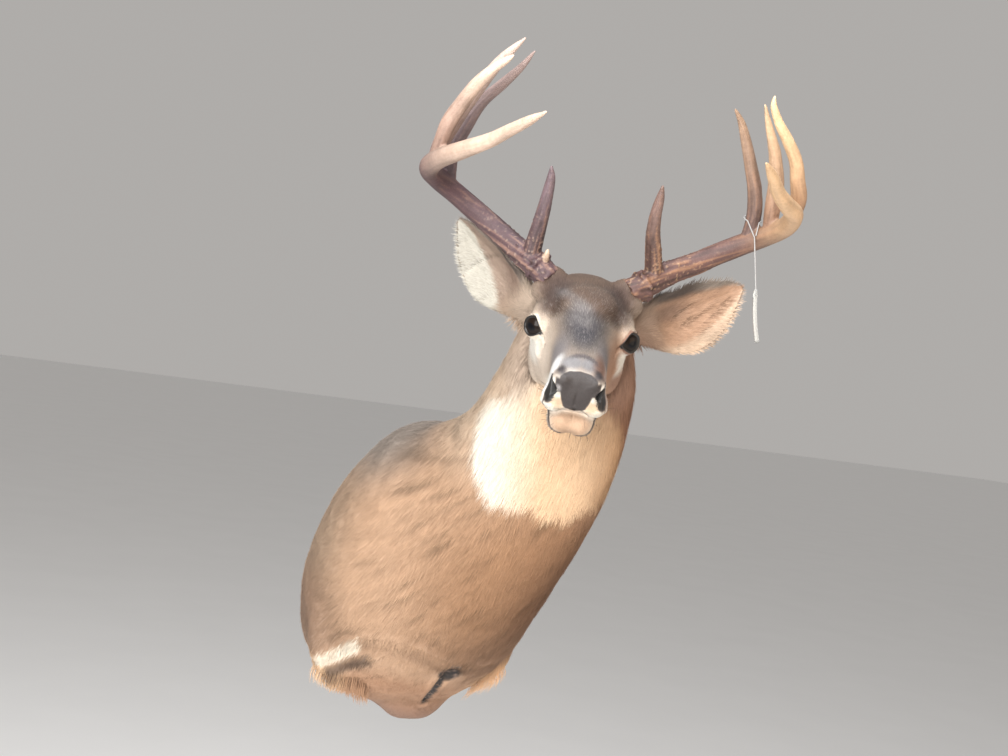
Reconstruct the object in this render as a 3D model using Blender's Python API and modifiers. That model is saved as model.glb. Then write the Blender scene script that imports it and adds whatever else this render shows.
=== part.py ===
"""Deer shoulder mount: a whitetail buck's head, neck and shoulders on a backboard.

The wall is the plane y = 0 and the mount stands out from it toward -Y, with +Z up and +X on
the deer's left. The origin is the centre of the backboard's back face. Lengths in the tables
are millimetres, and mm() turns them into the scene's metres.
"""

import math

import bmesh
import bpy
import numpy as np
from mathutils import Matrix, Vector

# ---------------------------------------------------------------- driving dimensions
MM = 0.001
GAP = 0.3                       # clearance between neighbouring pieces

HEAD_CENTRE = (39.5, -403.0, 363.0)     # halfway between the eyes
HEAD_TURN = 25.0                # degrees to the deer's right
HEAD_DROP = 17.0                # degrees, nose down
HEAD_TILT = 2.0                 # degrees, crown toward the deer's right

BOARD_HALF_WIDTH = 118.0
BOARD_HALF_HEIGHT = 160.0
BOARD_THICK = 12.0
BOARD_SEGMENTS = 48
POCKET_BEHIND = 5.0             # how far the pocket's cutter reaches behind the wall

EYE_RADIUS = 16.5
EYE_SEGMENTS = 12
EYE_SEAT = (52.0, 2.0, 6.0)     # the left eye's centre in the head's frame

VOXEL = 5.0                     # grain of the blended flesh
FLESH_TRIANGLES = 2900
FLESH_SMOOTHING = (0.5, 8)      # share of each smoothing pass, and how many passes
FLESH_BACK = -0.5               # where the flesh ends, just clear of the wall
RING_POINTS = 40
MASS_SEGMENTS = 24
LOFT_STEPS = 5                  # rings laid between two stations
CURVE_STEPS = 2                 # points laid between two antler points
TUBE_RESOLUTION = 2             # extra points on each quarter of a tube's section
WELD = 0.02                     # how near two points are when they are one
SHARP_ANGLE = 40.0

# Trunk and neck, from the wall to the skull. Each station is a section through the top and
# bottom points (y, z), with its sideways place and half width, its turn in degrees, and how
# egg-shaped it is (wider below).
BODY_STATIONS = (
    # top y, z      bottom y, z    side  half  turn  egg
    ((0, 194), (0, -178), 0, 140, 0, 0.22),
    ((-14, 222), (-14, -194), 0, 156, 0, 0.22),
    ((-60, 230), (-88, -186), 0, 158, 0, 0.22),
    ((-108, 232), (-172, -140), 4, 144, 2, 0.18),
    ((-150, 244), (-238, -72), 18, 124, 5, 0.12),
    ((-190, 270), (-296, 10), 41, 105, 9, 0.07),
    ((-224, 318), (-336, 100), 64, 96, 14, 0.03),
    ((-252, 374), (-350, 180), 78, 89, 18, 0.0),
    ((-284, 416), (-342, 246), 82, 82, 22, 0.0),
    ((-318, 428), (-330, 300), 78, 70, 25, 0.0),
)

# Head, from the nape to the nose pad, in the head's frame: how far forward, the half width,
# the top and bottom heights, the height of the widest part, and how square the section is.
HEAD_STATIONS = (
    # forward half  top  bottom widest square
    (-128, 40, 40, -50, -5, 2.0),
    (-105, 56, 58, -74, 0, 2.1),
    (-75, 63, 64, -90, 0, 2.2),
    (-45, 64, 65, -92, -2, 2.2),
    (-22, 61, 61, -88, -6, 2.2),
    (0, 56, 56, -82, -12, 2.2),
    (20, 49, 50, -76, -18, 2.2),
    (45, 43, 43, -70, -22, 2.2),
    (80, 36.5, 35, -66, -23, 2.3),
    (115, 33.5, 28, -64, -22, 2.4),
    (142, 33, 22, -63, -20, 2.4),
    (160, 31, 14, -52, -16, 2.4),
    (172, 25, 6, -34, -13, 2.3),
    (176, 15, -2, -24, -12, 2.1),
)

# Soft masses blended into the lofts: centre and radii, in the head's frame, for both sides.
HEAD_MASSES = {
    "brow": ((50, -9, 27), (17, 24, 11)),
    "orbit_back": ((54, -24, 8), (13, 15, 24)),
    "cheek": ((40, -48, -42), (22, 44, 40)),
    "cheekbone": ((40, 8, -24), (15, 32, 12)),
    "lip": ((19, 142, -31), (15, 30, 14)),
    "nostril": ((17, 164, -6), (13, 16, 13)),
    "pedicle": ((44, -60, 54), (19, 20, 18)),
    "ear_root": ((54, -86, 4), (20, 24, 26)),
}
CHIN_MASS = ((0, 140, -57), (21, 26, 14))
FOREHEAD_MASS = ((0, -10, 42), (40, 60, 22))

# Soft masses of the trunk, in the scene's frame.
TRUNK_MASSES = (
    ((-108, -90, -60), (54, 60, 96)),       # right shoulder
    ((108, -90, -60), (50, 60, 90)),        # left shoulder
    ((14, -66, -146), (66, 60, 66)),        # breast
)

# Foreleg stubs: the upper end, the lower end and the radii there.
STUBS = {
    "foreleg_stub_right": ((-98, -84, -92), (-110, -74, -150), 48, 32),
    "foreleg_stub_left": ((92, -98, -84), (118, -96, -140), 42, 26),
}
STUB_PROFILE = ((0.0, 1.0), (0.35, 1.0), (0.7, 1.0), (0.9, 0.86), (1.0, 0.55))    # along, share of the radius
STUB_POINTS = 24
STUB_DEPTH = 0.8                # front to back, as a share of the width
STUB_CUT = (-112.0, 14.0)       # height of the cut that parts a stub, and its tilt in degrees
STUB_BLOCK = (130.0, 130.0, 160.0)      # the block that takes a stub off the trunk
STUB_BLOCK_PLACE = (127.0, -83.0)       # its middle, out from the centre and from the wall

# Planes that part the flesh: a point and the way the far piece lies.
NECK_CUT = ((10, -190, 70), (0.12, -0.86, 0.5))
HEAD_CUT = ((76, -325, 285), (-0.33, -0.72, 0.61))

# Ears, in the head's frame: root, tip, way the cup opens, half width and bow of its midline.
EARS = {
    "ear_right": ((-60, -88, -2), (-178, -142, 91), (-0.25, 0.85, -0.45), 46, 8),
    "ear_left": ((60, -84, 2), (200, -142, 66), (0.10, 0.98, 0.05), 43, -14),
}

EAR_STATIONS = (
    # along, half width, cup depth, thickness
    (-0.02, 0.46, 0.0, 24),
    (0.10, 0.60, 0.04, 26),
    (0.20, 0.78, 0.12, 24),
    (0.30, 0.92, 0.40, 15),
    (0.42, 0.98, 0.60, 6.5),
    (0.56, 0.99, 0.56, 5),
    (0.70, 0.84, 0.43, 4.5),
    (0.83, 0.60, 0.28, 4),
    (0.93, 0.34, 0.13, 3.5),
    (1.0, 0.08, 0.02, 3),
)
EAR_PLUG = 4                    # how many of those stations the head's socket takes in
EAR_STEPS = 5                   # points from an ear's midline to its rim
EAR_RIM = 0.25                  # thickness at the rim, as a share of the middle's

# Antlers, in the head's frame: points (side, forward, up, radius), side outward.
ANTLERS = {
    "right": {
        "beam": (
            (50, -56, 52, 17), (66, -62, 64, 17), (93, -80, 77, 15.5), (125, -98, 94, 14.5),
            (153, -106, 110, 14), (181, -104, 128, 13.5), (205, -86, 146, 13.5), (217, -52, 164, 13),
            (204, -18, 182, 12), (173, 22, 203, 10.5), (143, 60, 223, 8.5), (119, 94, 243, 7),
            (101, 118, 258, 5.5), (84, 138, 272, 1.5),
        ),
        "brow_tine": ((78, -68, 66, 12), (75, -63, 100, 10.5), (72, -55, 129, 9), (70, -49, 156, 7.5),
                      (69, -45, 178, 5.5), (71, -41, 194, 1.5)),
        "tine_2": ((194, -97, 139, 8), (197, -96, 180, 10), (183, -91, 220, 9), (168, -86, 250, 7.5),
                   (146, -76, 276, 6.5), (126, -64, 301, 4.5), (113, -54, 322, 1.5)),
        "tine_3": ((216, -60, 159, 8), (207, -58, 198, 10.5), (190, -50, 236, 9.5), (173, -43, 268, 8.5),
                   (152, -33, 303, 6.5), (137, -26, 322, 4.5), (125, -20, 336, 1.5)),
        "tine_4": ((210, -30, 176, 8), (199, -8, 222, 10), (184, 4, 254, 9), (170, 13, 278, 8),
                   (154, 22, 298, 6), (142, 29, 309, 4.5), (132, 34, 318, 1.5)),
    },
    "left": {
        "beam": (
            (50, -56, 52, 17), (66, -64, 62, 17), (98, -86, 80, 15.5), (126, -100, 93, 14.5),
            (154, -106, 110, 14), (182, -104, 128, 13.5), (206, -92, 145, 13), (224, -66, 165, 12.5),
            (224, -32, 186, 11.5), (208, 0, 200, 10), (191, 32, 215, 8.5), (177, 62, 233, 7),
            (168, 80, 244, 5), (159, 96, 254, 1.5),
        ),
        "brow_tine": ((80, -74, 70, 12), (72, -67, 103, 10.5), (66, -57, 130, 9), (64, -50, 154, 7.5),
                      (65, -45, 176, 5.5), (65, -40, 193, 1.5)),
        "tine_2": ((186, -103, 131, 8), (188, -99, 168, 9.5), (181, -95, 200, 9), (170, -89, 227, 8),
                   (156, -81, 258, 6.5), (145, -73, 279, 4.5), (133, -64, 294, 1.5)),
        "tine_3": ((209, -89, 148, 8), (206, -83, 184, 10), (203, -77, 212, 10), (194, -70, 244, 8),
                   (186, -64, 262, 6.5), (176, -58, 282, 4.5), (165, -50, 306, 1.5)),
        "tine_4": ((225, -58, 170, 8), (228, -46, 200, 10), (220, -36, 226, 9), (212, -29, 248, 8),
                   (196, -20, 271, 7), (180, -11, 290, 5.5), (169, -4, 308, 4), (167, 0, 320, 1.5)),
    },
}
SIDE_SIGN = {"right": -1.0, "left": 1.0}
BURR_RADIUS = 23.5
BURR_THICK = 8.0                # half the ring's height
BURR_PLACE = 1.0                # where the ring sits, in points along the beam
BURR_SEGMENTS = (18, 8)
SOCKET_POINTS = 5               # how many of the beam's points the head's socket takes in
BEAM_SPLITS = (6.5, 8.0)        # where each beam is divided, in points along it

# The shop tag: a string looped round the left second tine, then down to a blank paper slip.
STRING_RADIUS = 0.8
TAG_LOOP_CENTRE = (187.8, -99.6, 160.0)    # on the tine midline, in the head frame
TAG_LOOP_RADIUS = 11.2
TAG_LOOP_SWEEP = (40.0, 280.0)  # where the loop starts and how far it goes round, in degrees
TAG_LOOP_POINTS = 13
TAG_LOOP_LEAN = 0.22            # how much the loop rises at its back
TAG_KNOT = (192.0, -82.0, 143.0)
TAG_STRAND = (1.4, -0.6, 2.0)   # from the knot to where a strand leaves it
TAG_DROP = 64.0                 # from the knot down to the slip
TAG_DROP_STEPS = 4
TAG_HANG = (0.15, -0.065, -0.985)       # the way the light string stands
TAG_SIZE = (22.0, 0.6, 66.0)
TAG_TURN = 70.0                 # degrees from the wall to the slip's face


# Colour, roughness and metallic value of each material, by the start of a node's name.
FINISHES = {
    "trunk": ((0.36, 0.24, 0.15), 0.85, 0.0),
    "neck": ((0.42, 0.30, 0.19), 0.85, 0.0),
    "head": ((0.33, 0.23, 0.16), 0.85, 0.0),
    "foreleg_stub": ((0.55, 0.40, 0.28), 0.85, 0.0),
    "ear": ((0.60, 0.47, 0.34), 0.85, 0.0),
    "eye": ((0.02, 0.012, 0.008), 0.05, 0.0),
    "beam": ((0.33, 0.17, 0.09), 0.45, 0.0),
    "brow_tine": ((0.36, 0.19, 0.10), 0.45, 0.0),
    "tine": ((0.62, 0.44, 0.27), 0.40, 0.0),
    "backboard": ((0.50, 0.35, 0.20), 0.60, 0.0),
    "tag_string": ((0.85, 0.85, 0.83), 0.80, 0.0),
    "price_tag": ((0.90, 0.90, 0.88), 0.70, 0.0),
}


def mm(*values):
    """Turn millimetres into a vector in metres."""
    return Vector(values) * MM


# ---------------------------------------------------------------- frames and curves
def head_matrix():
    """Return the head's frame: x to the deer's left, y to the nose, z to the crown."""
    turn, drop, tilt = (math.radians(a) for a in (HEAD_TURN, HEAD_DROP, HEAD_TILT))
    nose = Vector((-math.sin(turn) * math.cos(drop), -math.cos(turn) * math.cos(drop), -math.sin(drop)))
    level = Vector((math.cos(turn), -math.sin(turn), 0.0))
    rise = nose.cross(level)
    left = math.cos(tilt) * level - math.sin(tilt) * rise
    crown = math.cos(tilt) * rise + math.sin(tilt) * level
    matrix = Matrix.Identity(4)
    for column, axis in enumerate((left, nose, crown, mm(*HEAD_CENTRE))):
        for row in range(3):
            matrix[row][column] = axis[row]
    return matrix


def catmull(points, steps):
    """Return a smooth run through rows of numbers, with steps intervals between two rows."""
    rows = np.array(points, dtype=float)
    padded = np.vstack((2 * rows[0] - rows[1], rows, 2 * rows[-1] - rows[-2]))
    run = []
    for index in range(len(rows) - 1):
        before, start, end, after = padded[index:index + 4]
        for step in range(steps):
            t = step / steps
            run.append(0.5 * (2 * start + (end - before) * t
                              + (2 * before - 5 * start + 4 * end - after) * t * t
                              + (3 * start - before - 3 * end + after) * t ** 3))
    run.append(rows[-1])
    return np.array(run)


def new_object(name, mesh, collection):
    """Link a mesh as an object of the collection and return it."""
    item = bpy.data.objects.new(name, mesh)
    collection.objects.link(item)
    return item


def mesh_from_bmesh(name, shape):
    """Write a bmesh to a new mesh, with its faces turned outward, and free it."""
    bmesh.ops.recalc_face_normals(shape, faces=shape.faces)
    mesh = bpy.data.meshes.new(name)
    shape.to_mesh(mesh)
    shape.free()
    return mesh


def loft(name, rings):
    """Return a closed mesh through rings of equally many points, capped at both ends."""
    shape = bmesh.new()
    rows = [[shape.verts.new(point) for point in ring] for ring in rings]
    count = len(rows[0])
    for lower, upper in zip(rows, rows[1:]):
        for i in range(count):
            j = (i + 1) % count
            shape.faces.new((lower[i], lower[j], upper[j], upper[i]))
    for row in (rows[0], rows[-1]):
        centre = shape.verts.new(sum((v.co for v in row), Vector()) / count)
        for i in range(count):
            shape.faces.new((row[i], row[(i + 1) % count], centre))
    return mesh_from_bmesh(name, shape)


def ellipsoid(name, centre, radii, frame, segments=MASS_SEGMENTS):
    """Return a sphere mesh stretched to the radii at a centre of the frame, in millimetres."""
    shape = bmesh.new()
    place = frame @ Matrix.Translation(mm(*centre)) @ Matrix.Diagonal((*mm(*radii), 1.0))
    bmesh.ops.create_uvsphere(shape, u_segments=segments, v_segments=segments * 2 // 3, radius=1.0, matrix=place)
    return mesh_from_bmesh(name, shape)


def evaluated_mesh(item):
    """Return the object's mesh with its modifiers applied."""
    graph = bpy.context.evaluated_depsgraph_get()
    graph.update()
    return bpy.data.meshes.new_from_object(item.evaluated_get(graph))


def apply_modifiers(item):
    """Replace the object's mesh with its evaluated one."""
    mesh = evaluated_mesh(item)
    item.modifiers.clear()
    item.data = mesh


def join_meshes(name, meshes):
    """Return one mesh that holds all the meshes."""
    shape = bmesh.new()
    for mesh in meshes:
        shape.from_mesh(mesh)
    joined = bpy.data.meshes.new(name)
    shape.to_mesh(joined)
    shape.free()
    return joined


def boolean(item, other, operation):
    """Apply a Boolean of one object on another."""
    modifier = item.modifiers.new(operation.lower(), "BOOLEAN")
    modifier.operation = operation
    modifier.object = other
    apply_modifiers(item)


def swollen(mesh, distance, collection):
    """Return an object of the mesh moved out along its normals, to cut a fit with clearance."""
    copy = mesh.copy()
    normals = [vertex.normal.copy() for vertex in copy.vertices]
    for vertex, normal in zip(copy.vertices, normals):
        vertex.co += normal * distance * MM
    return new_object("cutter_" + mesh.name, copy, collection)


def half(mesh, name, point, normal, keep_far, gap=GAP):
    """Return the part of a mesh on one side of a plane, capped, half a gap clear of it."""
    shape = bmesh.new()
    shape.from_mesh(mesh)
    normal = Vector(normal).normalized()
    clear = normal * gap * 0.5 * MM * (1.0 if keep_far else -1.0)
    geometry = list(shape.verts) + list(shape.edges) + list(shape.faces)
    cut = bmesh.ops.bisect_plane(
        shape, geom=geometry, plane_co=mm(*point) + clear, plane_no=normal,
        clear_inner=keep_far, clear_outer=not keep_far,
    )
    rim = [edge for edge in cut["geom_cut"] if isinstance(edge, bmesh.types.BMEdge)]
    cap = bmesh.ops.holes_fill(shape, edges=rim, sides=0)
    bmesh.ops.triangulate(shape, faces=cap["faces"])
    return mesh_from_bmesh(name, shape)


# ---------------------------------------------------------------- flesh
def body_rings():
    """Return the rings of the trunk and neck, from the wall to the skull."""
    rows = [(*top, *bottom, side, width, turn, egg)
            for top, bottom, side, width, turn, egg in BODY_STATIONS]
    rings = []
    for top_y, top_z, low_y, low_z, side, width, turn, egg in catmull(rows, LOFT_STEPS):
        top, low = mm(side, min(top_y, 0.0), top_z), mm(side, min(low_y, 0.0), low_z)
        across = Vector((math.cos(math.radians(turn)), -math.sin(math.radians(turn)), 0.0))
        ring = []
        for step in range(RING_POINTS):
            angle = math.tau * step / RING_POINTS
            height = math.sin(angle)
            reach = math.cos(angle) * (1.0 - egg * height) * width * MM
            ring.append((top + low) / 2 + (top - low) / 2 * height + across * reach)
        rings.append(ring)
    return rings


def head_rings(frame):
    """Return the rings of the head, from the nape to the nose pad."""
    rings = []
    for forward, width, top, low, widest, square in catmull(HEAD_STATIONS, LOFT_STEPS):
        ring = []
        for step in range(RING_POINTS):
            angle = math.tau * step / RING_POINTS
            out, rise = math.cos(angle), math.sin(angle)
            out = math.copysign(abs(out) ** (2 / square), out)
            rise = math.copysign(abs(rise) ** (2 / square), rise)
            reach = (top - widest) if rise > 0 else (widest - low)
            ring.append(frame @ mm(out * width, forward, widest + rise * reach))
        rings.append(ring)
    return rings


def stub_mesh(name):
    """Return one foreleg's stub as a tapered round loft."""
    upper, lower, wide, narrow = STUBS[name]
    rings = []
    for t, size in STUB_PROFILE:
        radius = (wide + (narrow - wide) * t) * size
        centre = Vector(upper).lerp(Vector(lower), t)
        rings.append([mm(centre.x + radius * math.cos(a), centre.y + STUB_DEPTH * radius * math.sin(a), centre.z)
                      for a in (math.tau * i / STUB_POINTS for i in range(STUB_POINTS))])
    return loft(name, rings)


def flesh_mesh(frame, work):
    """Return trunk, neck, head and stubs blended into one closed skin."""
    world = Matrix.Identity(4)
    meshes = [loft("body", body_rings()), loft("skull", head_rings(frame))]
    for side in SIDE_SIGN.values():
        for name, ((out, forward, up), radii) in HEAD_MASSES.items():
            meshes.append(ellipsoid(name, (side * out, forward, up), radii, frame))
    for centre, radii in (CHIN_MASS, FOREHEAD_MASS):
        meshes.append(ellipsoid("middle", centre, radii, frame))
    for centre, radii in TRUNK_MASSES:
        meshes.append(ellipsoid("muscle", centre, radii, world))
    meshes.extend(stub_mesh(name) for name in STUBS)

    flesh = new_object("flesh", join_meshes("flesh", meshes), work)
    remesh = flesh.modifiers.new("blend", "REMESH")
    remesh.mode = "VOXEL"
    remesh.voxel_size = VOXEL * MM
    smooth = flesh.modifiers.new("soften", "SMOOTH")
    smooth.factor, smooth.iterations = FLESH_SMOOTHING
    apply_modifiers(flesh)
    thin = flesh.modifiers.new("thin", "DECIMATE")
    thin.ratio = FLESH_TRIANGLES / (2 * len(flesh.data.polygons))
    apply_modifiers(flesh)
    return half(flesh.data, "flesh", (0, FLESH_BACK, 0), (0, -1, 0), True, 0.0)


def part_flesh(flesh, parts, work):
    """Divide the flesh into its named pieces with thin cuts."""
    trunk = half(flesh, "trunk", *NECK_CUT, False)
    front = half(flesh, "front", *NECK_CUT, True)
    neck = half(front, "neck", *HEAD_CUT, False)
    head = half(front, "head", *HEAD_CUT, True)
    pieces = {name: new_object(name, mesh, parts)
              for name, mesh in (("trunk", trunk), ("neck", neck), ("head", head))}

    height, tilt = STUB_CUT
    out, forward = STUB_BLOCK_PLACE
    for name, (upper, *_) in STUBS.items():
        sign = math.copysign(1.0, upper[0])
        pieces[name] = new_object(name, pieces["trunk"].data.copy(), parts)
        for target, gap, operation in ((name, 0.0, "INTERSECT"), ("trunk", GAP, "DIFFERENCE")):
            shape = bmesh.new()
            size = Matrix.Diagonal((*mm(*(length + 2 * gap for length in STUB_BLOCK)), 1.0))
            place = (Matrix.Translation(mm(0, 0, height)) @ Matrix.Rotation(sign * math.radians(tilt), 4, "Y")
                     @ Matrix.Translation(mm(sign * out, forward, -STUB_BLOCK[2] / 2)) @ size)
            bmesh.ops.create_cube(shape, size=1.0, matrix=place)
            cutter = new_object("cutter_" + name, mesh_from_bmesh("cutter", shape), work)
            boolean(pieces[target], cutter, operation)
    return pieces


# ---------------------------------------------------------------- ears and eyes
def ear_mesh(name, frame, stations=EAR_STATIONS, grow=0.0):
    """Return one ear: a cupped leaf on a solid root, grown all round by a clearance."""
    root, tip, opening, half_width, bow = EARS[name]
    base, end = Vector(root), Vector(tip)
    axis = (end - base).normalized()
    length = (end - base).length
    facing = Vector(opening)
    facing = (facing - axis * facing.dot(axis)).normalized()
    across = axis.cross(facing)
    stations = [(stations[0][0] - grow / length, *stations[0][1:]), *stations[1:]]
    rings = []
    for along, wide, cup, thick in stations:
        spread, depth, thick = wide * half_width + grow, cup * half_width, thick + 2 * grow
        middle = bow * math.sin(math.pi * min(max(along, 0.0), 1.0))
        ring = []
        for back, order in ((1.0, 1), (-1.0, -1)):
            for step in range(-EAR_STEPS, EAR_STEPS + 1)[::order]:
                u = step / EAR_STEPS
                edge = EAR_RIM + (1.0 - EAR_RIM) * math.sqrt(1.0 - u * u)
                lift = depth * (u * u - 0.5) - back * 0.5 * thick * edge
                point = base + axis * along * length + across * (spread * u + middle) + facing * lift
                ring.append(frame @ mm(*point))
        rings.append(ring)
    return loft(name, rings)


def make_ears(frame, head, parts, work):
    """Make both ears, and the sockets for their roots in the head."""
    for name in EARS:
        new_object(name, ear_mesh(name, frame), parts)
        plug = ear_mesh(name, frame, EAR_STATIONS[:EAR_PLUG], 2 * GAP)
        boolean(head, new_object("cutter_" + name, plug, work), "DIFFERENCE")


def make_eyes(frame, head, parts, work):
    """Set a glass eye in a socket on each side of the head."""
    out, forward, up = EYE_SEAT
    for name, sign in SIDE_SIGN.items():
        centre = (sign * out, forward, up)
        socket = ellipsoid("socket", centre, (EYE_RADIUS + GAP,) * 3, frame, EYE_SEGMENTS)
        boolean(head, new_object("cutter_socket", socket, work), "DIFFERENCE")
        new_object("eye_" + name, ellipsoid("eye_" + name, centre, (EYE_RADIUS,) * 3, frame, EYE_SEGMENTS), parts)


# ---------------------------------------------------------------- antlers
def swept(name, places, radii, collection):
    """Return a closed round tube through places in metres, as a mesh object."""
    curve = bpy.data.curves.new(name, "CURVE")
    curve.dimensions = "3D"
    curve.bevel_depth = MM
    curve.bevel_resolution = TUBE_RESOLUTION
    curve.use_fill_caps = True
    spline = curve.splines.new("POLY")
    spline.points.add(len(places) - 1)
    for point, place, radius in zip(spline.points, places, radii):
        point.co = (*place, 1.0)
        point.radius = radius
    item = new_object(name, curve, collection)
    shape = bmesh.new()
    shape.from_mesh(evaluated_mesh(item))
    bmesh.ops.remove_doubles(shape, verts=shape.verts, dist=WELD * MM)
    bpy.data.objects.remove(item)
    return new_object(name, mesh_from_bmesh(name, shape), collection)


def tube(name, points, frame, collection):
    """Return a tapered tube through points of the head's frame, as a mesh object."""
    run = catmull(points, CURVE_STEPS)
    return swept(name, [frame @ mm(*row[:3]) for row in run], run[:, 3], collection)


def along_beam(points, place, frame):
    """Return the point and direction on a beam at a place counted in its points."""
    run = catmull(points, CURVE_STEPS)
    index = round(place * CURVE_STEPS)
    before, here, after = (frame @ mm(*run[i][:3]) for i in (index - 1, index, index + 1))
    return here, (after - before).normalized()


def burr_mesh(points, frame, grow):
    """Return the knobbed ring round an antler's foot, grown all round by a clearance."""
    here, way = along_beam(points, BURR_PLACE, frame)
    turn = Vector((0, 0, 1)).rotation_difference(way).to_matrix().to_4x4()
    size = Matrix.Diagonal((*mm(BURR_RADIUS + grow, BURR_RADIUS + grow, BURR_THICK + grow), 1))
    shape = bmesh.new()
    round_about, up = BURR_SEGMENTS
    bmesh.ops.create_uvsphere(shape, u_segments=round_about, v_segments=up, radius=1.0,
                              matrix=Matrix.Translation(here) @ turn @ size)
    return mesh_from_bmesh("burr", shape)


def make_antler(side, frame, head, parts, work):
    """Make one antler: its beam in three lengths and four tines, parted at the forks."""
    sign = SIDE_SIGN[side]
    rows = {name: [(sign * out, forward, up, radius) for out, forward, up, radius in points]
            for name, points in ANTLERS[side].items()}
    beam = tube("beam_" + side, rows["beam"], frame, work)
    for name in ("brow_tine", "tine_2", "tine_3", "tine_4"):
        tine = tube(f"{name}_{side}", rows[name], frame, parts)
        boolean(tine, swollen(beam.data, GAP, work), "DIFFERENCE")

    rest = beam.data
    for index, place in enumerate(BEAM_SPLITS):
        here, way = along_beam(rows["beam"], place, frame)
        name = f"beam_{('base', 'middle')[index]}_{side}"
        new_object(name, half(rest, name, here / MM, way, False), parts)
        rest = half(rest, "rest", here / MM, way, True)
    new_object("beam_tip_" + side, rest, parts)

    base = parts.objects["beam_base_" + side]
    boolean(base, new_object("burr", burr_mesh(rows["beam"], frame, 0.0), work), "UNION")
    back = Vector(rows["beam"][0][:3]) - Vector(rows["beam"][1][:3])
    start = Vector(rows["beam"][0][:3]) + back.normalized() * GAP
    grown = [(*start, rows["beam"][0][3] + GAP)]
    grown += [(out, forward, up, radius + GAP) for out, forward, up, radius in rows["beam"][1:SOCKET_POINTS]]
    socket = tube("cutter_pedicle_" + side, grown, frame, work)
    boolean(socket, new_object("cutter_burr", burr_mesh(rows["beam"], frame, GAP), work), "UNION")
    boolean(head, socket, "DIFFERENCE")
    boolean(parts.objects["ear_" + side], socket, "DIFFERENCE")


# ---------------------------------------------------------------- board and tag
def make_board(trunk, parts, work):
    """Make the backboard and its pocket in the trunk's back."""
    for name, gap, collection in (("backboard", 0.0, parts), ("pocket", GAP, work)):
        shape = bmesh.new()
        deep, behind = BOARD_THICK + gap, POCKET_BEHIND if gap else 0.0
        size = Matrix.Diagonal((*mm(BOARD_HALF_WIDTH + gap, BOARD_HALF_HEIGHT + gap, deep + behind), 1.0))
        place = Matrix.Translation(mm(0, (behind - deep) / 2, 0)) @ Matrix.Rotation(math.pi / 2, 4, "X") @ size
        bmesh.ops.create_cone(shape, cap_ends=True, segments=BOARD_SEGMENTS, radius1=1.0, radius2=1.0, depth=1.0,
                              matrix=place)
        item = new_object(name, mesh_from_bmesh(name, shape), collection)
    boolean(trunk, item, "DIFFERENCE")


def string_route(frame):
    """Return the string's points: from the knot, round the tine, and down to the slip."""
    centre, knot = Vector(TAG_LOOP_CENTRE), Vector(TAG_KNOT)
    beside, ahead, above = TAG_STRAND
    first, sweep = TAG_LOOP_SWEEP
    route = [knot + Vector((beside, ahead, above))]
    for step in range(TAG_LOOP_POINTS):
        angle = math.radians(first + sweep * step / (TAG_LOOP_POINTS - 1))
        reach = Vector((math.sin(angle), math.cos(angle), TAG_LOOP_LEAN * (1.0 - math.cos(angle))))
        route.append(centre + TAG_LOOP_RADIUS * reach)
    route.append(knot + Vector((-beside, ahead, above)))
    route = [frame @ (place * MM) for place in route]
    start, hang = frame @ (knot * MM), Vector(TAG_HANG).normalized()
    return route + [start + hang * (TAG_DROP * i / TAG_DROP_STEPS) * MM for i in range(TAG_DROP_STEPS + 1)]


def make_tag(frame, parts):
    """Hang a blank paper slip by its string from the left beam."""
    route = string_route(frame)
    swept("tag_string", route, [STRING_RADIUS] * len(route), parts)

    wide, thin, tall = TAG_SIZE
    hang = Vector(TAG_HANG).normalized()
    middle = route[-1] + hang * (tall / 2 + GAP) * MM
    turn = Vector((0, 0, -1)).rotation_difference(hang).to_matrix().to_4x4()
    turn = turn @ Matrix.Rotation(math.radians(TAG_TURN), 4, "Z")
    shape = bmesh.new()
    bmesh.ops.create_cube(shape, size=1.0, matrix=Matrix.Translation(middle) @ turn
                          @ Matrix.Diagonal((*mm(wide, thin, tall), 1)))
    new_object("price_tag", mesh_from_bmesh("price_tag", shape), parts)


def finish(parts):
    """Give each piece its material and smooth shading."""
    for item in parts.objects:
        start = next(key for key in FINISHES if item.name.startswith(key))
        colour, roughness, metallic = FINISHES[start]
        material = bpy.data.materials.new(item.name)
        material.use_nodes = True
        shader = material.node_tree.nodes["Principled BSDF"]
        shader.inputs["Base Color"].default_value = (*colour, 1.0)
        shader.inputs["Roughness"].default_value = roughness
        shader.inputs["Metallic"].default_value = metallic
        item.data.materials.clear()
        item.data.materials.append(material)
        item.data.shade_smooth()
        item.data.set_sharp_from_angle(angle=math.radians(SHARP_ANGLE))


def main():
    """Build the mount."""
    for item in list(bpy.data.objects):
        bpy.data.objects.remove(item)
    parts = bpy.data.collections.new("deer_shoulder_mount")
    work = bpy.data.collections.new("cutters")
    for collection in (parts, work):
        bpy.context.scene.collection.children.link(collection)
    frame = head_matrix()
    pieces = part_flesh(flesh_mesh(frame, work), parts, work)
    make_ears(frame, pieces["head"], parts, work)
    for side in SIDE_SIGN:
        make_antler(side, frame, pieces["head"], parts, work)
    make_eyes(frame, pieces["head"], parts, work)
    make_board(pieces["trunk"], parts, work)
    make_tag(frame, parts)
    finish(parts)
    for item in work.objects:
        item.hide_render = True
        item.display_type = "WIRE"


main()
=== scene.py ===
"""Deer shoulder mount: a whitetail buck's hide, coat, antlers and glass eyes, dressed over the solids.

Sizes are in millimetres and angles in degrees, and meshes are written in metres. The wall is
the plane y = 0, +X is the deer's left and +Z is up. In the head's own frame x runs to the
deer's left, y to the nose and z to the crown, from a point halfway between the eyes.
"""

import logging
import math
from collections.abc import Callable, Sequence
from dataclasses import dataclass, field
from enum import Enum

import bmesh
import bpy
import numpy as np
from mathutils import Matrix, Vector, noise
from mathutils.bvhtree import BVHTree


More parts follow.
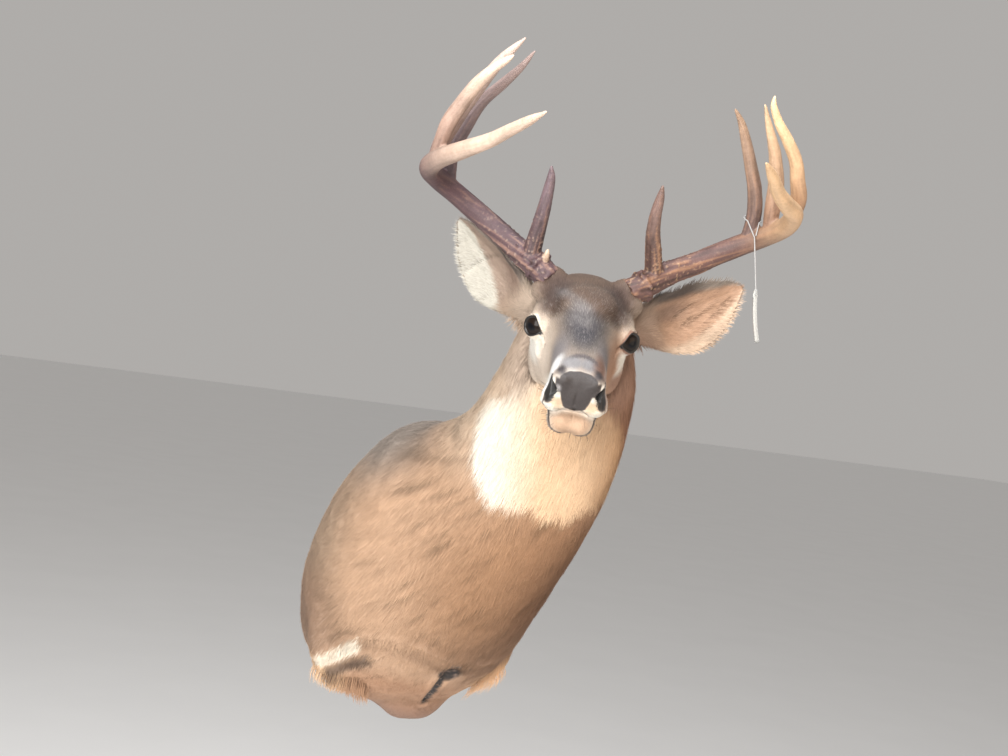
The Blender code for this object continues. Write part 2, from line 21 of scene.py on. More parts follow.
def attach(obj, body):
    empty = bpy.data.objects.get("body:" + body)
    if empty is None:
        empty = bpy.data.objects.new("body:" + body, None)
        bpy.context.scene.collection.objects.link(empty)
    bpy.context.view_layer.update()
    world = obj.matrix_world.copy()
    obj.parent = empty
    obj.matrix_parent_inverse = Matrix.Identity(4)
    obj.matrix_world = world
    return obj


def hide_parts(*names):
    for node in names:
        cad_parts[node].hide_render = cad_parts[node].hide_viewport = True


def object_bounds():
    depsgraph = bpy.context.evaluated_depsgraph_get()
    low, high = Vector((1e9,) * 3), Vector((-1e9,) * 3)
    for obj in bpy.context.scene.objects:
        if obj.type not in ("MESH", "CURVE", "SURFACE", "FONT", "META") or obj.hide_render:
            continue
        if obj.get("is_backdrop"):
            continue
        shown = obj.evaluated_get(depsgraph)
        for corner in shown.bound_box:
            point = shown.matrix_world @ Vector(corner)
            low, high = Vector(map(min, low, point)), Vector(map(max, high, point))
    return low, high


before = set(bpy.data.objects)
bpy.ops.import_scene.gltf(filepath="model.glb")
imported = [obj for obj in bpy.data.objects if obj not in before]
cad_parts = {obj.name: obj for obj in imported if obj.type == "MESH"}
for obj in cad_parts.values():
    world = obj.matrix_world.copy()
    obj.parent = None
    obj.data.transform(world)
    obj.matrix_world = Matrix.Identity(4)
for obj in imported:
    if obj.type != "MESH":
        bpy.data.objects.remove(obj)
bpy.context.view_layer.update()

LOG = logging.getLogger("deer_mount")
MM = 0.001
Triple = tuple[float, float, float]
Array = np.ndarray
# a rule of the coat: it takes places in the mount's frame, the same places in the head's frame and
# the normals there in the head's frame, and gives one number per place
Rule = Callable[[Array, Array, Array], Array]


# ---------------------------------------------------------------- numbers and frames
class Side(Enum):
    """A side of the deer, with the sign of x in the head's frame."""

    RIGHT = -1.0
    LEFT = 1.0

    @property
    def word(self) -> str:
        """Return the side's name as the solids use it."""
        return self.name.lower()

    @property
    def mirror(self) -> Array:
        """Return what turns a place of the deer's left, in the head's frame, into this side's."""
        return np.array((self.value, 1.0, 1.0))


class Space(Enum):
    """The frame that a place is given in."""

    MOUNT = "mount"
    HEAD = "head"


@dataclass(frozen=True)
class HeadFrame:
    """How the head is carried: where it is and how it is turned."""

    centre: Triple = (39.5, -403.0, 363.0)
    turn: float = 25.0
    drop: float = 17.0
    tilt: float = 2.0

    def axes(self) -> Array:
        """Return the head's axes as columns: left, nose, crown."""
        turn, drop, tilt = (math.radians(a) for a in (self.turn, self.drop, self.tilt))
        flat = math.cos(drop)
        nose = np.array((-math.sin(turn) * flat, -math.cos(turn) * flat, -math.sin(drop)))
        level = np.array((math.cos(turn), -math.sin(turn), 0.0))
        rise = np.cross(nose, level)
        left = math.cos(tilt) * level - math.sin(tilt) * rise
        crown = math.cos(tilt) * rise + math.sin(tilt) * level
        return np.stack((left, nose, crown), axis=1)

    def to_head(self, points: Array) -> Array:
        """Return points of the mount in the head's frame."""
        return (points - np.array(self.centre)) @ self.axes()

    def to_mount(self, points: Array) -> Array:
        """Return points of the head's frame in the mount's."""
        return np.asarray(points, dtype=float) @ self.axes().T + np.array(self.centre)

    def matrix(self) -> Matrix:
        """Return the frame as a matrix in metres."""
        matrix = Matrix.Identity(4)
        columns = np.column_stack((self.axes(), np.array(self.centre) * MM))
        for row in range(3):
            for column in range(4):
                matrix[row][column] = columns[row, column]
        return matrix


HEAD = HeadFrame()


def ease(low: float, high: float, value: Array) -> Array:
    """Return a smooth step from 0 at low to 1 at high.

    Args:
        low: where the step starts.
        high: where it ends; it may be below low.
        value: the values to map.

    Returns:
        The eased values.
    """
    t = np.clip((value - low) / (high - low), 0.0, 1.0)
    return t * t * (3.0 - 2.0 * t)


def bump(gap: Array, width: float) -> Array:
    """Return a smooth hump that is 1 where a distance is 0."""
    return np.exp(-(gap / width) ** 2)


def over(colours: Array, tone: Triple | Array, share: Array) -> Array:
    """Return colours with a share of another tone over them."""
    return colours * (1.0 - share) + np.asarray(tone) * share


def oval(points: Array, centre: Triple, radii: Triple) -> Array:
    """Return how far points are from the middle of an ellipsoid; 1 is its surface."""
    return np.linalg.norm((points - np.array(centre)) / np.array(radii), axis=1)


def unit(rows: Array) -> Array:
    """Return rows scaled to length one."""
    return rows / np.maximum(np.linalg.norm(rows, axis=-1, keepdims=True), 1e-9)


def catmull(points: Sequence[Sequence[float]], steps: int) -> Array:
    """Return a smooth run through rows of numbers.

    Args:
        points: the rows to pass through.
        steps: intervals between two rows.

    Returns:
        The rows of the run.
    """
    rows = np.array(points, dtype=float)
    padded = np.vstack((2 * rows[0] - rows[1], rows, 2 * rows[-1] - rows[-2]))
    run = []
    for index in range(len(rows) - 1):
        before, start, end, after = padded[index:index + 4]
        for step in range(steps):
            t = step / steps
            run.append(0.5 * (2 * start + (end - before) * t
                              + (2 * before - 5 * start + 4 * end - after) * t * t
                              + (3 * start - before - 3 * end + after) * t ** 3))
    run.append(rows[-1])
    return np.array(run)


def round_angles(count: int) -> Array:
    """Return angles in radians, evenly round a circle."""
    return math.tau * np.arange(count) / count


def along_rows(place: Array, ticks: Array, rows: Array) -> Array:
    """Return what rows of numbers are at places between them.

    Args:
        place: where to look.
        ticks: the places of the rows.
        rows: the rows.
    """
    return np.stack([np.interp(place, ticks, column) for column in rows.T], axis=1)


def ripple(points: Array, scale: float, seed: float = 0.0) -> Array:
    """Return smooth noise from -1 to 1 at points.

    Args:
        points: places in millimetres.
        scale: the size of a wave in millimetres.
        seed: an offset that gives another pattern.

    Returns:
        One value per point.
    """
    places = points / scale + seed
    return np.array([noise.noise(Vector(place)) for place in places]) * 1.4


def to_line(points: Array, line: Array, normals: Array | None = None) -> tuple[Array, Array]:
    """Return how far points are from a line of several points, and where along it they are.

    Args:
        points: places to measure.
        line: the line's points in order.
        normals: where given, distance along them isn't counted.

    Returns:
        The distances, and the nearest places along the line from 0 to 1.
    """
    best = np.full(len(points), 1e9)
    where = np.zeros(len(points))
    count = len(line) - 1
    for index in range(count):
        start, way = line[index], line[index + 1] - line[index]
        t = np.clip((points - start) @ way / (way @ way), 0.0, 1.0)
        gap = points - (start + t[:, None] * way)
        if normals is not None:
            far = np.abs((gap * normals).sum(1)) > 14.0
            gap = gap - (gap * normals).sum(1, keepdims=True) * normals
            gap[far] += 1e3
        distance = np.linalg.norm(gap, axis=1)
        nearer = distance < best
        best[nearer] = distance[nearer]
        where[nearer] = (index + t[nearer]) / count
    return best, where


# ---------------------------------------------------------------- meshes
def loft(shape: bmesh.types.BMesh, rings: Sequence[Array]) -> None:
    """Add a closed skin through rings of equally many points.

    Args:
        shape: the bmesh that takes it.
        rings: points in millimetres, in the mount's frame.
    """
    before = None
    for index, ring in enumerate(rings):
        made = bmesh.ops.create_circle(shape, segments=len(ring), radius=1.0)
        for vertex, place in zip(made["verts"], ring):
            vertex.co = Vector(place) * MM
        edges = list({edge for vertex in made["verts"] for edge in vertex.link_edges})
        if index in (0, len(rings) - 1):
            cap = bmesh.ops.contextual_create(shape, geom=edges)
            bmesh.ops.poke(shape, faces=cap["faces"])
        if before is not None:
            bmesh.ops.bridge_loops(shape, edges=before + edges)
        before = edges


def ball(
    shape: bmesh.types.BMesh, centre: Triple, radii: Triple, space: Space, segments: int = 24
) -> None:
    """Add a sphere stretched to three radii.

    Args:
        shape: the bmesh that takes it.
        centre: its middle.
        radii: its radii along the axes of the frame.
        space: the frame that both are given in.
        segments: how many columns of faces it has.
    """
    base = HEAD.matrix() if space is Space.HEAD else Matrix.Identity(4)
    size = Matrix.Diagonal((*(Vector(radii) * MM), 1.0))
    place = base @ Matrix.Translation(Vector(centre) * MM) @ size
    rows = segments * 2 // 3
    bmesh.ops.create_uvsphere(shape, u_segments=segments, v_segments=rows, radius=1.0, matrix=place)


def new_object(name: str, data: bpy.types.ID) -> bpy.types.Object:
    """Return a new object of the scene that holds some data."""
    item = bpy.data.objects.new(name, data)
    bpy.context.scene.collection.objects.link(item)
    return item


def new_piece(
    name: str, mesh: bpy.types.Mesh, replaces: Sequence[str] = ()
) -> bpy.types.Object:
    """Link a finished piece that rides on the mount, and report it.

    Args:
        name: the piece's name.
        mesh: its mesh, in place.
        replaces: the solids that it stands for.

    Returns:
        The object.
    """
    item = new_object(name, mesh)
    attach(item, "root")
    if replaces:
        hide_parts(*replaces)
    LOG.info("%s: %d faces", name, len(mesh.polygons))
    return item


def soften(shape: bmesh.types.BMesh, verts: Sequence[bmesh.types.BMVert], passes: int) -> None:
    """Smooth some of a shape's points a number of times."""
    for _ in range(passes):
        bmesh.ops.smooth_vert(shape, verts=verts, factor=0.5, use_axis_x=True, use_axis_y=True,
                              use_axis_z=True)


def to_mesh(name: str, shape: bmesh.types.BMesh, smooth: bool = True) -> bpy.types.Mesh:
    """Write a bmesh to a mesh with its faces turned outward, and free it."""
    bmesh.ops.recalc_face_normals(shape, faces=shape.faces)
    mesh = bpy.data.meshes.new(name)
    shape.to_mesh(mesh)
    shape.free()
    if smooth:
        mesh.shade_smooth()
    return mesh


def blended(shape: bmesh.types.BMesh, voxel: float, passes: int) -> bpy.types.Mesh:
    """Melt overlapping closed shapes into one skin.

    Args:
        shape: the shapes; it is freed.
        voxel: the grain in millimetres.
        passes: how often the result is smoothed.

    Returns:
        The new mesh.
    """
    item = new_object("blend", to_mesh("blend", shape))
    remesh = item.modifiers.new("melt", "REMESH")
    remesh.mode = "VOXEL"
    remesh.voxel_size = voxel * MM
    smooth = item.modifiers.new("soften", "SMOOTH")
    smooth.factor = 0.5
    smooth.iterations = passes
    graph = bpy.context.evaluated_depsgraph_get()
    graph.update()
    mesh = bpy.data.meshes.new_from_object(item.evaluated_get(graph))
    bpy.data.objects.remove(item)
    return mesh


def places_of(mesh: bpy.types.Mesh) -> Array:
    """Return a mesh's points in millimetres."""
    flat = np.empty(len(mesh.vertices) * 3)
    mesh.vertices.foreach_get("co", flat)
    return flat.reshape(-1, 3) / MM


def normals_of(mesh: bpy.types.Mesh) -> Array:
    """Return the normals at a mesh's points."""
    flat = np.empty(len(mesh.vertices) * 3)
    mesh.vertex_normals.foreach_get("vector", flat)
    return flat.reshape(-1, 3)


def move_to(mesh: bpy.types.Mesh, places: Array) -> None:
    """Move a mesh's points to places in millimetres."""
    mesh.vertices.foreach_set("co", (places * MM).ravel())
    mesh.update()


def paint(mesh: bpy.types.Mesh, name: str, colours: Array) -> None:
    """Write one colour per point as an attribute of the mesh."""
    layer = mesh.color_attributes.new(name=name, type="FLOAT_COLOR", domain="POINT")
    rows = np.column_stack((np.clip(colours, 0.0, 1.0), np.ones(len(colours))))
    layer.data.foreach_set("color", rows.ravel())


def mask(mesh: bpy.types.Mesh, name: str, values: Array) -> None:
    """Write one number per point as an attribute of the mesh."""
    layer = mesh.attributes.new(name=name, type="FLOAT", domain="POINT")
    layer.data.foreach_set("value", np.asarray(values, dtype=np.float32))


# ---------------------------------------------------------------- materials
class Nodes:
    """A short way to lay and join the nodes of one material or group."""

    def __init__(self, tree: bpy.types.NodeTree) -> None:
        """Start on a node tree."""
        self.tree = tree

    def add(
        self, kind: str, values: dict[str | int, object] | None = None, **settings: object
    ) -> bpy.types.Node:
        """Add a node.

        Args:
            kind: its type, without the ShaderNode prefix.
            values: numbers or sockets for its inputs, by the input's name or place.
            settings: its other properties.

        Returns:
            The node.
        """
        node = self.tree.nodes.new(kind if kind.startswith("Node") else "ShaderNode" + kind)
        for key, value in settings.items():
            setattr(node, key, value)
        for key, value in (values or {}).items():
            self.feed(node.inputs[key], value)
        return node

    def feed(self, target: bpy.types.NodeSocket, value: object) -> None:
        """Give an input its value: a socket is linked, anything else is written."""
        if isinstance(value, bpy.types.NodeSocket):
            self.tree.links.new(value, target)
        else:
            target.default_value = value

    def mix(
        self, factor: object, first: object, second: object, blend: str = "MIX"
    ) -> bpy.types.NodeSocket:
        """Mix two colours.

        Args:
            factor: a number or socket.
            first: a colour or socket.
            second: a colour or socket.
            blend: how they mix.

        Returns:
            The mixed colour's socket.
        """
        values = {0: factor, 6: first, 7: second}
        return self.add("Mix", values, data_type="RGBA", blend_type=blend).outputs[2]

    def spread(self, value: bpy.types.NodeSocket, low: float, high: float,
               start: float = 0.0, end: float = 1.0) -> bpy.types.NodeSocket:
        """Map a value's range low..high to start..end and return the result."""
        return self.add("MapRange", {"Value": value, "From Min": low, "From Max": high,
                                     "To Min": start, "To Max": end}).outputs["Result"]

    def compute(self, operation: str, first: object, second: object) -> bpy.types.NodeSocket:
        """Return the result of a calculation with two numbers or sockets."""
        return self.add("Math", {0: first, 1: second}, operation=operation).outputs[0]

    def noise(self, place: bpy.types.NodeSocket, scale: float, detail: float,
              roughness: float = 0.5) -> bpy.types.NodeSocket:
        """Return a noise texture's value.

        Args:
            place: where it is looked up.
            scale: how fine it is.
            detail: how many finer layers it has.
            roughness: how strong the finer layers are.
        """
        return self.add("TexNoise", {"Vector": place, "Scale": scale, "Detail": detail,
                                     "Roughness": roughness}).outputs["Fac"]


class NewMaterial(Nodes):
    """A material in the making: its nodes, its shader and the places on its object."""

    def __init__(self, name: str) -> None:
        """Start on a material with one shader."""
        self.material = bpy.data.materials.new(name)
        self.material.use_nodes = True
        super().__init__(self.material.node_tree)
        self.place = self.add("TexCoord").outputs["Object"]

    def carried(self, name: str, output: str = "Fac") -> bpy.types.NodeSocket:
        """Return what the mesh's points carry under a name."""
        return self.add("Attribute", attribute_name=name).outputs[output]

    def mapped(self, **values: Sequence[float]) -> bpy.types.NodeSocket:
        """Return the places after a rotation or scale."""
        return self.add("Mapping", {"Vector": self.place, **values}).outputs["Vector"]

    def strands(self, colour: bpy.types.NodeSocket, place: bpy.types.NodeSocket,
                depth: float) -> bpy.types.bpy_prop_collection:
        """Return the streaked colour and its height, by name.

        Args:
            colour: the plain colour.
            place: where the streaks are looked up.
            depth: how strong they are, from 0 to 1.
        """
        values = {"Colour": colour, "Place": place, "Depth": depth}
        return self.add("Group", values, node_tree=strand_group()).outputs

    def relief(
        self, height: bpy.types.NodeSocket, strength: float, depth: float
    ) -> bpy.types.NodeSocket:
        """Return the normals that a height gives.

        Args:
            height: the height, from 0 to 1.
            strength: how much of it shows.
            depth: how deep it is, in millimetres.
        """
        values = {"Height": height, "Strength": strength, "Distance": depth * MM}
        return self.add("Bump", values).outputs["Normal"]

    def finished(self, values: dict[str, object]) -> bpy.types.Material:
        """Write or link the shader's inputs, by name, and return the material."""
        shader = self.tree.nodes["Principled BSDF"]
        for key, value in values.items():
            self.feed(shader.inputs[key], value)
        return self.material


def strand_group() -> bpy.types.NodeTree:
    """Return the group that streaks a colour, darker as painted shade where its height is low, and gives
    that height, built once.
    """
    tree = bpy.data.node_groups.get("strands")
    if tree:
        return tree
    tree = bpy.data.node_groups.new("strands", "ShaderNodeTree")
    for name, way, kind in (("Colour", "INPUT", "Color"), ("Place", "INPUT", "Vector"),
                            ("Depth", "INPUT", "Float"), ("Colour", "OUTPUT", "Color"),
                            ("Height", "OUTPUT", "Float")):
        tree.interface.new_socket(name=name, in_out=way, socket_type="NodeSocket" + kind)
    nodes = Nodes(tree)
    given = nodes.add("NodeGroupInput").outputs
    fine = nodes.spread(nodes.noise(given["Place"], 620.0, 3.0, 0.7), 0.3, 0.7)
    broad = nodes.spread(nodes.noise(given["Place"], 90.0, 2.0), 0.3, 0.7, 0.0, 0.6)
    height = nodes.compute("MULTIPLY", nodes.compute("ADD", fine, broad), 0.625)
    # painted shade: the colour darkens where the strands' height is low, between the strands
    dark = nodes.mix(1.0, given["Colour"], (0.52, 0.5, 0.48, 1.0), "MULTIPLY")
    shade = nodes.mix(height, dark, given["Colour"])
    colour = nodes.mix(given["Depth"], given["Colour"], shade)
    nodes.add("NodeGroupOutput", {"Colour": colour, "Height": height})
    return tree


@dataclass(frozen=True)
class CoatFinish:
    """Hair that carries its own markings, dull with a slight sheen."""

    name: str
    roughness: float = 0.7
    sheen: float = 0.02
    streak: float = 0.16

    def build(self) -> bpy.types.Material:
        """Return the material."""
        new = NewMaterial(self.name)
        strands = new.strands(new.carried("marking", "Color"), new.place, self.streak)
        return new.finished({
            "Base Color": strands["Colour"], "Roughness": self.roughness, "Specular IOR Level": 0.12,
            "Sheen Weight": self.sheen, "Sheen Roughness": 0.5})


@dataclass(frozen=True)
class HideFinish:
    """The skin under the coat: short flat hair in relief, and bare leather on nose, lids and lips."""

    name: str = "hide"
    hair_roughness: float = 0.75
    leather_roughness: float = 0.42

    def build(self) -> bpy.types.Material:
        """Return the material."""
        new = NewMaterial(self.name)
        colour, bare = new.carried("marking", "Color"), new.carried("leather")
        turn = HEAD.matrix().inverted().to_euler()
        along = new.mapped(Rotation=tuple(turn), Scale=(1.0, 0.22, 0.8))
        strands = new.strands(colour, along, 0.4)
        values = {"Vector": new.place, "Scale": 800.0}
        pebbles = new.add("TexVoronoi", values, feature="DISTANCE_TO_EDGE")
        edges = new.spread(pebbles.outputs["Distance"], 0.0, 0.3, 0.05)
        grains = new.compute("POWER", edges, new.carried("pebbled"))
        skin = new.mix(grains, (0.5, 0.47, 0.46, 1.0), (1.35, 1.25, 1.2, 1.0))
        leather = new.mix(1.0, colour, skin, "MULTIPLY")
        height = new.add("Mix", {0: bare, 2: strands["Height"], 3: grains}, data_type="FLOAT")
        return new.finished({
            "Base Color": new.mix(bare, strands["Colour"], leather),
            "Roughness": new.spread(bare, 0.0, 1.0, self.hair_roughness, self.leather_roughness),
            "Normal": new.relief(height.outputs[0], 0.4, 0.7)})


@dataclass(frozen=True)
class AntlerFinish:
    """Antler bone: stained in its grooves, worn pale and smoother at the tips."""

    name: str = "antler_bone"

    def build(self) -> bpy.types.Material:
        """Return the material."""
        new = NewMaterial(self.name)
        colour = new.carried("marking", "Color")
        stain = new.noise(new.place, 150.0, 6.0, 0.7)
        pores = new.noise(new.place, 900.0, 3.0)
        dark = new.mix(1.0, colour, (0.8, 0.78, 0.77, 1.0), "MULTIPLY")
        tone = new.mix(new.spread(stain, 0.35, 0.65), dark, colour)
        return new.finished({
            "Base Color": new.mix(new.spread(pores, 0.58, 0.75, 0.0, 0.12), tone, (0.6, 0.5, 0.4, 1.0)),
            "Roughness": new.spread(new.carried("polish"), 0.0, 1.0, 0.6, 0.38),
            "Normal": new.relief(new.compute("ADD", stain, pores), 0.45, 0.7)})


@dataclass(frozen=True)
class EyeFinish:
    """A taxidermist's glass eye: dark brown iris round a long pupil, under clear glass."""

    name: str = "eye_glass"

    def build(self) -> bpy.types.Material:
        """Return the material."""
        new = NewMaterial(self.name)
        iris = new.carried("marking", "Color")
        dark = new.mix(1.0, iris, (0.5, 0.45, 0.4, 1.0), "MULTIPLY")
        return new.finished({
            "Base Color": new.mix(new.noise(new.place, 700.0, 2.0), dark, iris), "Roughness": 0.4,
            "Specular IOR Level": 0.05, "Coat Weight": 0.45, "Coat IOR": 1.3, "Coat Roughness": 0.03})


@dataclass(frozen=True)
class WoodFinish:
    """Plain board: long grain and sawn fuzz."""

    name: str = "board_pine"

    def build(self) -> bpy.types.Material:
        """Return the material."""
        new = NewMaterial(self.name)
        along = new.mapped(Scale=(1.0, 1.0, 0.12))
        rings = new.add("TexWave", {"Vector": along, "Scale": 30.0, "Distortion": 6.0, "Detail": 3.0,
                                    "Detail Scale": 1.6}).outputs["Fac"]
        fibre = new.noise(along, 420.0, 5.0)
        base = new.mix(rings, (0.47, 0.3, 0.15, 1.0), (0.62, 0.44, 0.25, 1.0))
        return new.finished({
            "Base Color": new.mix(new.spread(fibre, 0.35, 0.65, 0.0, 0.5), base, (0.33, 0.2, 0.1, 1.0)),
            "Roughness": 0.7, "Normal": new.relief(fibre, 0.3, 0.5)})


@dataclass(frozen=True)
class FibreFinish:
    """White paper or cotton: faint mottling and a fibrous surface."""

    name: str
    light: Triple
    shade: Triple
    scale: float
    depth: float

    def build(self) -> bpy.types.Material:
        """Return the material."""
        new = NewMaterial(self.name)
        fibre = new.noise(new.place, self.scale, 5.0)
        tone = new.mix(new.spread(fibre, 0.35, 0.65), (*self.shade, 1.0), (*self.light, 1.0))
        return new.finished({
            "Base Color": tone, "Roughness": 0.8, "Normal": new.relief(fibre, 0.4, self.depth)})


# ---------------------------------------------------------------- camera, light and floor
@dataclass(frozen=True)
class Studio:
    """A plain pale floor, soft light, and a camera low on the deer's right."""

    eye: Triple = (-668.7, -1817.0, 301.4)
    heading: float = 23.5
    roll: float = 8.0
    lens: float = 46.43
    sensor: float = 36.0
    floor_drop: float = 900.0
    floor_half: float = 40.0
    lamps_aim: Triple = (0.0, -0.25, 0.15)
    lamps: tuple[tuple[str, Triple, float, float, Triple], ...] = (
        # name, place in metres, side in metres, power in watts, colour
        ("key", (-2.05, -2.2, 1.15), 2.2, 198.0, (1.0, 0.98, 0.95)),
        ("catch", (-0.9, -2.3, 0.75), 0.25, 11.0, (1.0, 1.0, 1.0)),
        ("fill", (1.7, -2.0, 0.4), 2.0, 24.0, (1.0, 0.8, 0.6)),
        ("top", (-0.3, -0.9, 2.4), 1.4, 56.0, (0.88, 0.94, 1.0)),
    )
    sky: Triple = (0.86, 0.83, 0.8)
    sky_strength: float = 0.5

    def camera(self) -> None:
        """Place the camera."""
        head, roll = math.radians(self.heading), math.radians(self.roll)
        ahead = Vector((math.sin(head), math.cos(head), 0.0))
        level, up = Vector((math.cos(head), -math.sin(head), 0.0)), Vector((0.0, 0.0, 1.0))
        right = math.cos(roll) * level + math.sin(roll) * up
        top = math.cos(roll) * up - math.sin(roll) * level
        data = bpy.data.cameras.new("camera")
        data.lens, data.sensor_width = self.lens, self.sensor
        data.dof.use_dof = False
        item = new_object("camera", data)
        matrix = Matrix.Identity(4)
        for column, axis in enumerate((right, top, -ahead, Vector(self.eye) * MM)):
            for row in range(3):
                matrix[row][column] = axis[row]
        item.matrix_world = matrix
        bpy.context.scene.camera = item

    def lamp(self, name: str, place: Triple, size: float, power: float, colour: Triple) -> None:
        """Hang a soft square light that faces the mount.

        Args:
            name: its name.
            place: where it hangs, in metres.
            size: the length of its side, in metres.
            power: its power in watts.
            colour: its colour.
        """
        data = bpy.data.lights.new(name, "AREA")
        data.energy, data.size, data.color = power, size, colour
        item = new_object(name, data)
        item.location = place
        item.rotation_mode = "QUATERNION"
        item.rotation_quaternion = (Vector(self.lamps_aim) - Vector(place)).to_track_quat("-Z", "Y")

    def build(self) -> None:
        """Set up floor, lights and surroundings."""
        shape = bmesh.new()
        height = Matrix.Translation((0, 0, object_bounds()[0].z - self.floor_drop * MM))
        bmesh.ops.create_grid(shape, x_segments=1, y_segments=1, size=self.floor_half, matrix=height)
        floor = new_object("floor", to_mesh("floor", shape, False))
        new = NewMaterial("pale_floor")
        cloud = new.noise(new.place, 3.0, 3.0)
        tone = new.mix(cloud, (0.84, 0.84, 0.84, 1.0), (0.88, 0.88, 0.88, 1.0))
        floor.data.materials.append(new.finished({"Base Color": tone, "Roughness": 0.9}))
        floor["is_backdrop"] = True
        for lamp in self.lamps:
            self.lamp(*lamp)
        world = bpy.data.worlds.new("studio")
        world.use_nodes = True
        background = world.node_tree.nodes["Background"].inputs
        background["Color"].default_value = (*self.sky, 1.0)
        background["Strength"].default_value = self.sky_strength
        bpy.context.scene.world = world
        bpy.context.scene.view_settings.view_transform = "Standard"


# ---------------------------------------------------------------- string and slip
@dataclass(frozen=True)
class ShopTag:
    """A cotton string looped round the left second tine, and the blank slip that hangs from it."""

    radius: float = 0.8
    loop_centre: Triple = (187.8, -99.6, 160.0)
    loop_radius: float = 11.2
    knot: Triple = (192.0, -82.0, 143.0)
    drop: float = 64.0
    hang: Triple = (0.15, -0.065, -0.985)
    size: Triple = (22.0, 0.6, 66.0)
    turn: float = 70.0
    curl: float = 4.0
    through: float = 8.0
    ends_off_knot: Triple = (1.4, -0.6, 2.0)
    loop_start: float = 40.0
    loop_turn: float = 280.0
    loop_slope: float = 0.22
    loop_steps: int = 12
    drop_steps: int = 4

    def route(self) -> Array:
        """Return the string's points: from the knot, round the tine, and down to the slip."""
        knot, centre = np.array(self.knot), np.array(self.loop_centre)
        route = [knot + self.ends_off_knot]
        for step in range(self.loop_steps + 1):
            angle = math.radians(self.loop_start + self.loop_turn * step / self.loop_steps)
            rise = self.loop_slope - self.loop_slope * math.cos(angle)
            reach = np.array((math.sin(angle), math.cos(angle), rise))
            route.append(centre + self.loop_radius * reach)
        route.append(knot + self.ends_off_knot * Side.RIGHT.mirror)
        route = list(HEAD.to_mount(np.array(route)))
        start = HEAD.to_mount(knot[None])[0]
        way = unit(np.array(self.hang))
        route += [start + way * self.drop * i / self.drop_steps for i in range(self.drop_steps + 1)]
        route += [start + way * (self.drop + self.through * t) + self.front() * t for t in (0.5, 1.0)]
        return np.array(route)

    def front(self) -> Array:
        """Return the way that the slip's face looks."""
        turn = Vector((0, 0, -1)).rotation_difference(Vector(self.hang)).to_matrix()
        return np.array(turn @ Matrix.Rotation(math.radians(self.turn), 3, "Z") @ Vector((0, 1, 0)))

    def string(self) -> None:
        route = self.route() * MM
        curve = bpy.data.curves.new("tag_cord", "CURVE")
        curve.dimensions = "3D"
        curve.bevel_depth = self.radius * MM
        curve.bevel_resolution = 3
        curve.use_fill_caps = True
        spline = curve.splines.new("POLY")
        spline.points.add(len(route) - 1)
        for point, place in zip(spline.points, route):
            point.co = (*place, 1.0)
        cotton = FibreFinish("cotton", (0.36, 0.355, 0.35), (0.22, 0.215, 0.21), 1500.0, 0.3)
        curve.materials.append(cotton.build())
        item = new_object("tag_cord", curve)
        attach(item, "root")
        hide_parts("tag_string")

    def slip(self) -> None:
        """Make the slip: thin card, curled along its length, narrowed at the end that the string holds."""
        wide, thin, tall = self.size
        way = Vector(self.hang).normalized()
        end = Vector(self.route()[-3])
        shape = bmesh.new()
        bmesh.ops.create_grid(shape, x_segments=8, y_segments=20, size=1.0)
        for vertex in shape.verts:
            across, along = vertex.co.x, vertex.co.y
            narrow = 1.0 - 0.4 * max(0.0, along - 0.8) / 0.2
            lift = self.curl * (0.5 - along * along) * 0.5 + 1.2 * across * across
            vertex.co = Vector((across * wide * 0.485 * narrow, lift, along * tall / 2))
        bmesh.ops.solidify(shape, geom=shape.faces[:], thickness=thin * 0.6)
        turn = Vector((0, 0, -1)).rotation_difference(way).to_matrix().to_4x4()
        turn = turn @ Matrix.Rotation(math.radians(self.turn), 4, "Z")
        place = Matrix.Scale(MM, 4) @ Matrix.Translation(end + way * (tall / 2 + 0.3)) @ turn
        bmesh.ops.transform(shape, matrix=place, verts=shape.verts)
        item = new_piece("tag_slip", to_mesh("tag_slip", shape), ["price_tag"])
        card = FibreFinish("card", (0.6, 0.6, 0.57), (0.5, 0.5, 0.475), 400.0, 0.15)
        item.data.materials.append(card.build())


# ---------------------------------------------------------------- markings
class Marking:
    """A soft-edged marking of the coat."""

    colour: Triple
    space: Space
    paired: bool
    strength: float

    def weigh(self, places: Array, mirror: Array) -> Array:
        """Return how far places are in the marking or its mirror image, from 0 to 1."""
        raise NotImplementedError

    def lay(self, colours: Array, mount: Array, head: Array) -> Array:
        """Return colours with this marking over them.

        Args:
            colours: one per place.
            mount: the places in the mount's frame.
            head: the same places in the head's frame.
        """
        on_head = self.space is Space.HEAD
        places = head if on_head else mount
        sides = (Side.LEFT, Side.RIGHT) if self.paired and on_head else (Side.LEFT,)
        weight = np.zeros(len(places))
        for side in sides:
            weight = np.maximum(weight, self.weigh(places, side.mirror))
        return over(colours, self.colour, (weight * self.strength)[:, None])


@dataclass(frozen=True)
class Patch(Marking):
    """A marking that fills an ellipsoid."""

    centre: Triple
    radii: Triple
    colour: Triple
    soft: float = 0.4
    space: Space = Space.HEAD
    paired: bool = True
    strength: float = 1.0

    def weigh(self, places: Array, mirror: Array) -> Array:
        """See Marking.weigh."""
        gap = oval(places, np.array(self.centre) * mirror, self.radii)
        return 1.0 - ease(1.0 - self.soft, 1.0 + self.soft, gap)


@dataclass(frozen=True)
class Stripe(Marking):
    """A marking along a line."""

    line: Sequence[Triple]
    width: float
    colour: Triple
    soft: float = 0.6
    strength: float = 1.0
    space: Space = Space.HEAD
    paired: bool = True

    def weigh(self, places: Array, mirror: Array) -> Array:
        """See Marking.weigh."""
        gap, _ = to_line(places, np.array(self.line) * mirror)
        return 1.0 - ease(self.width * (1.0 - self.soft), self.width * (1.0 + self.soft), gap)


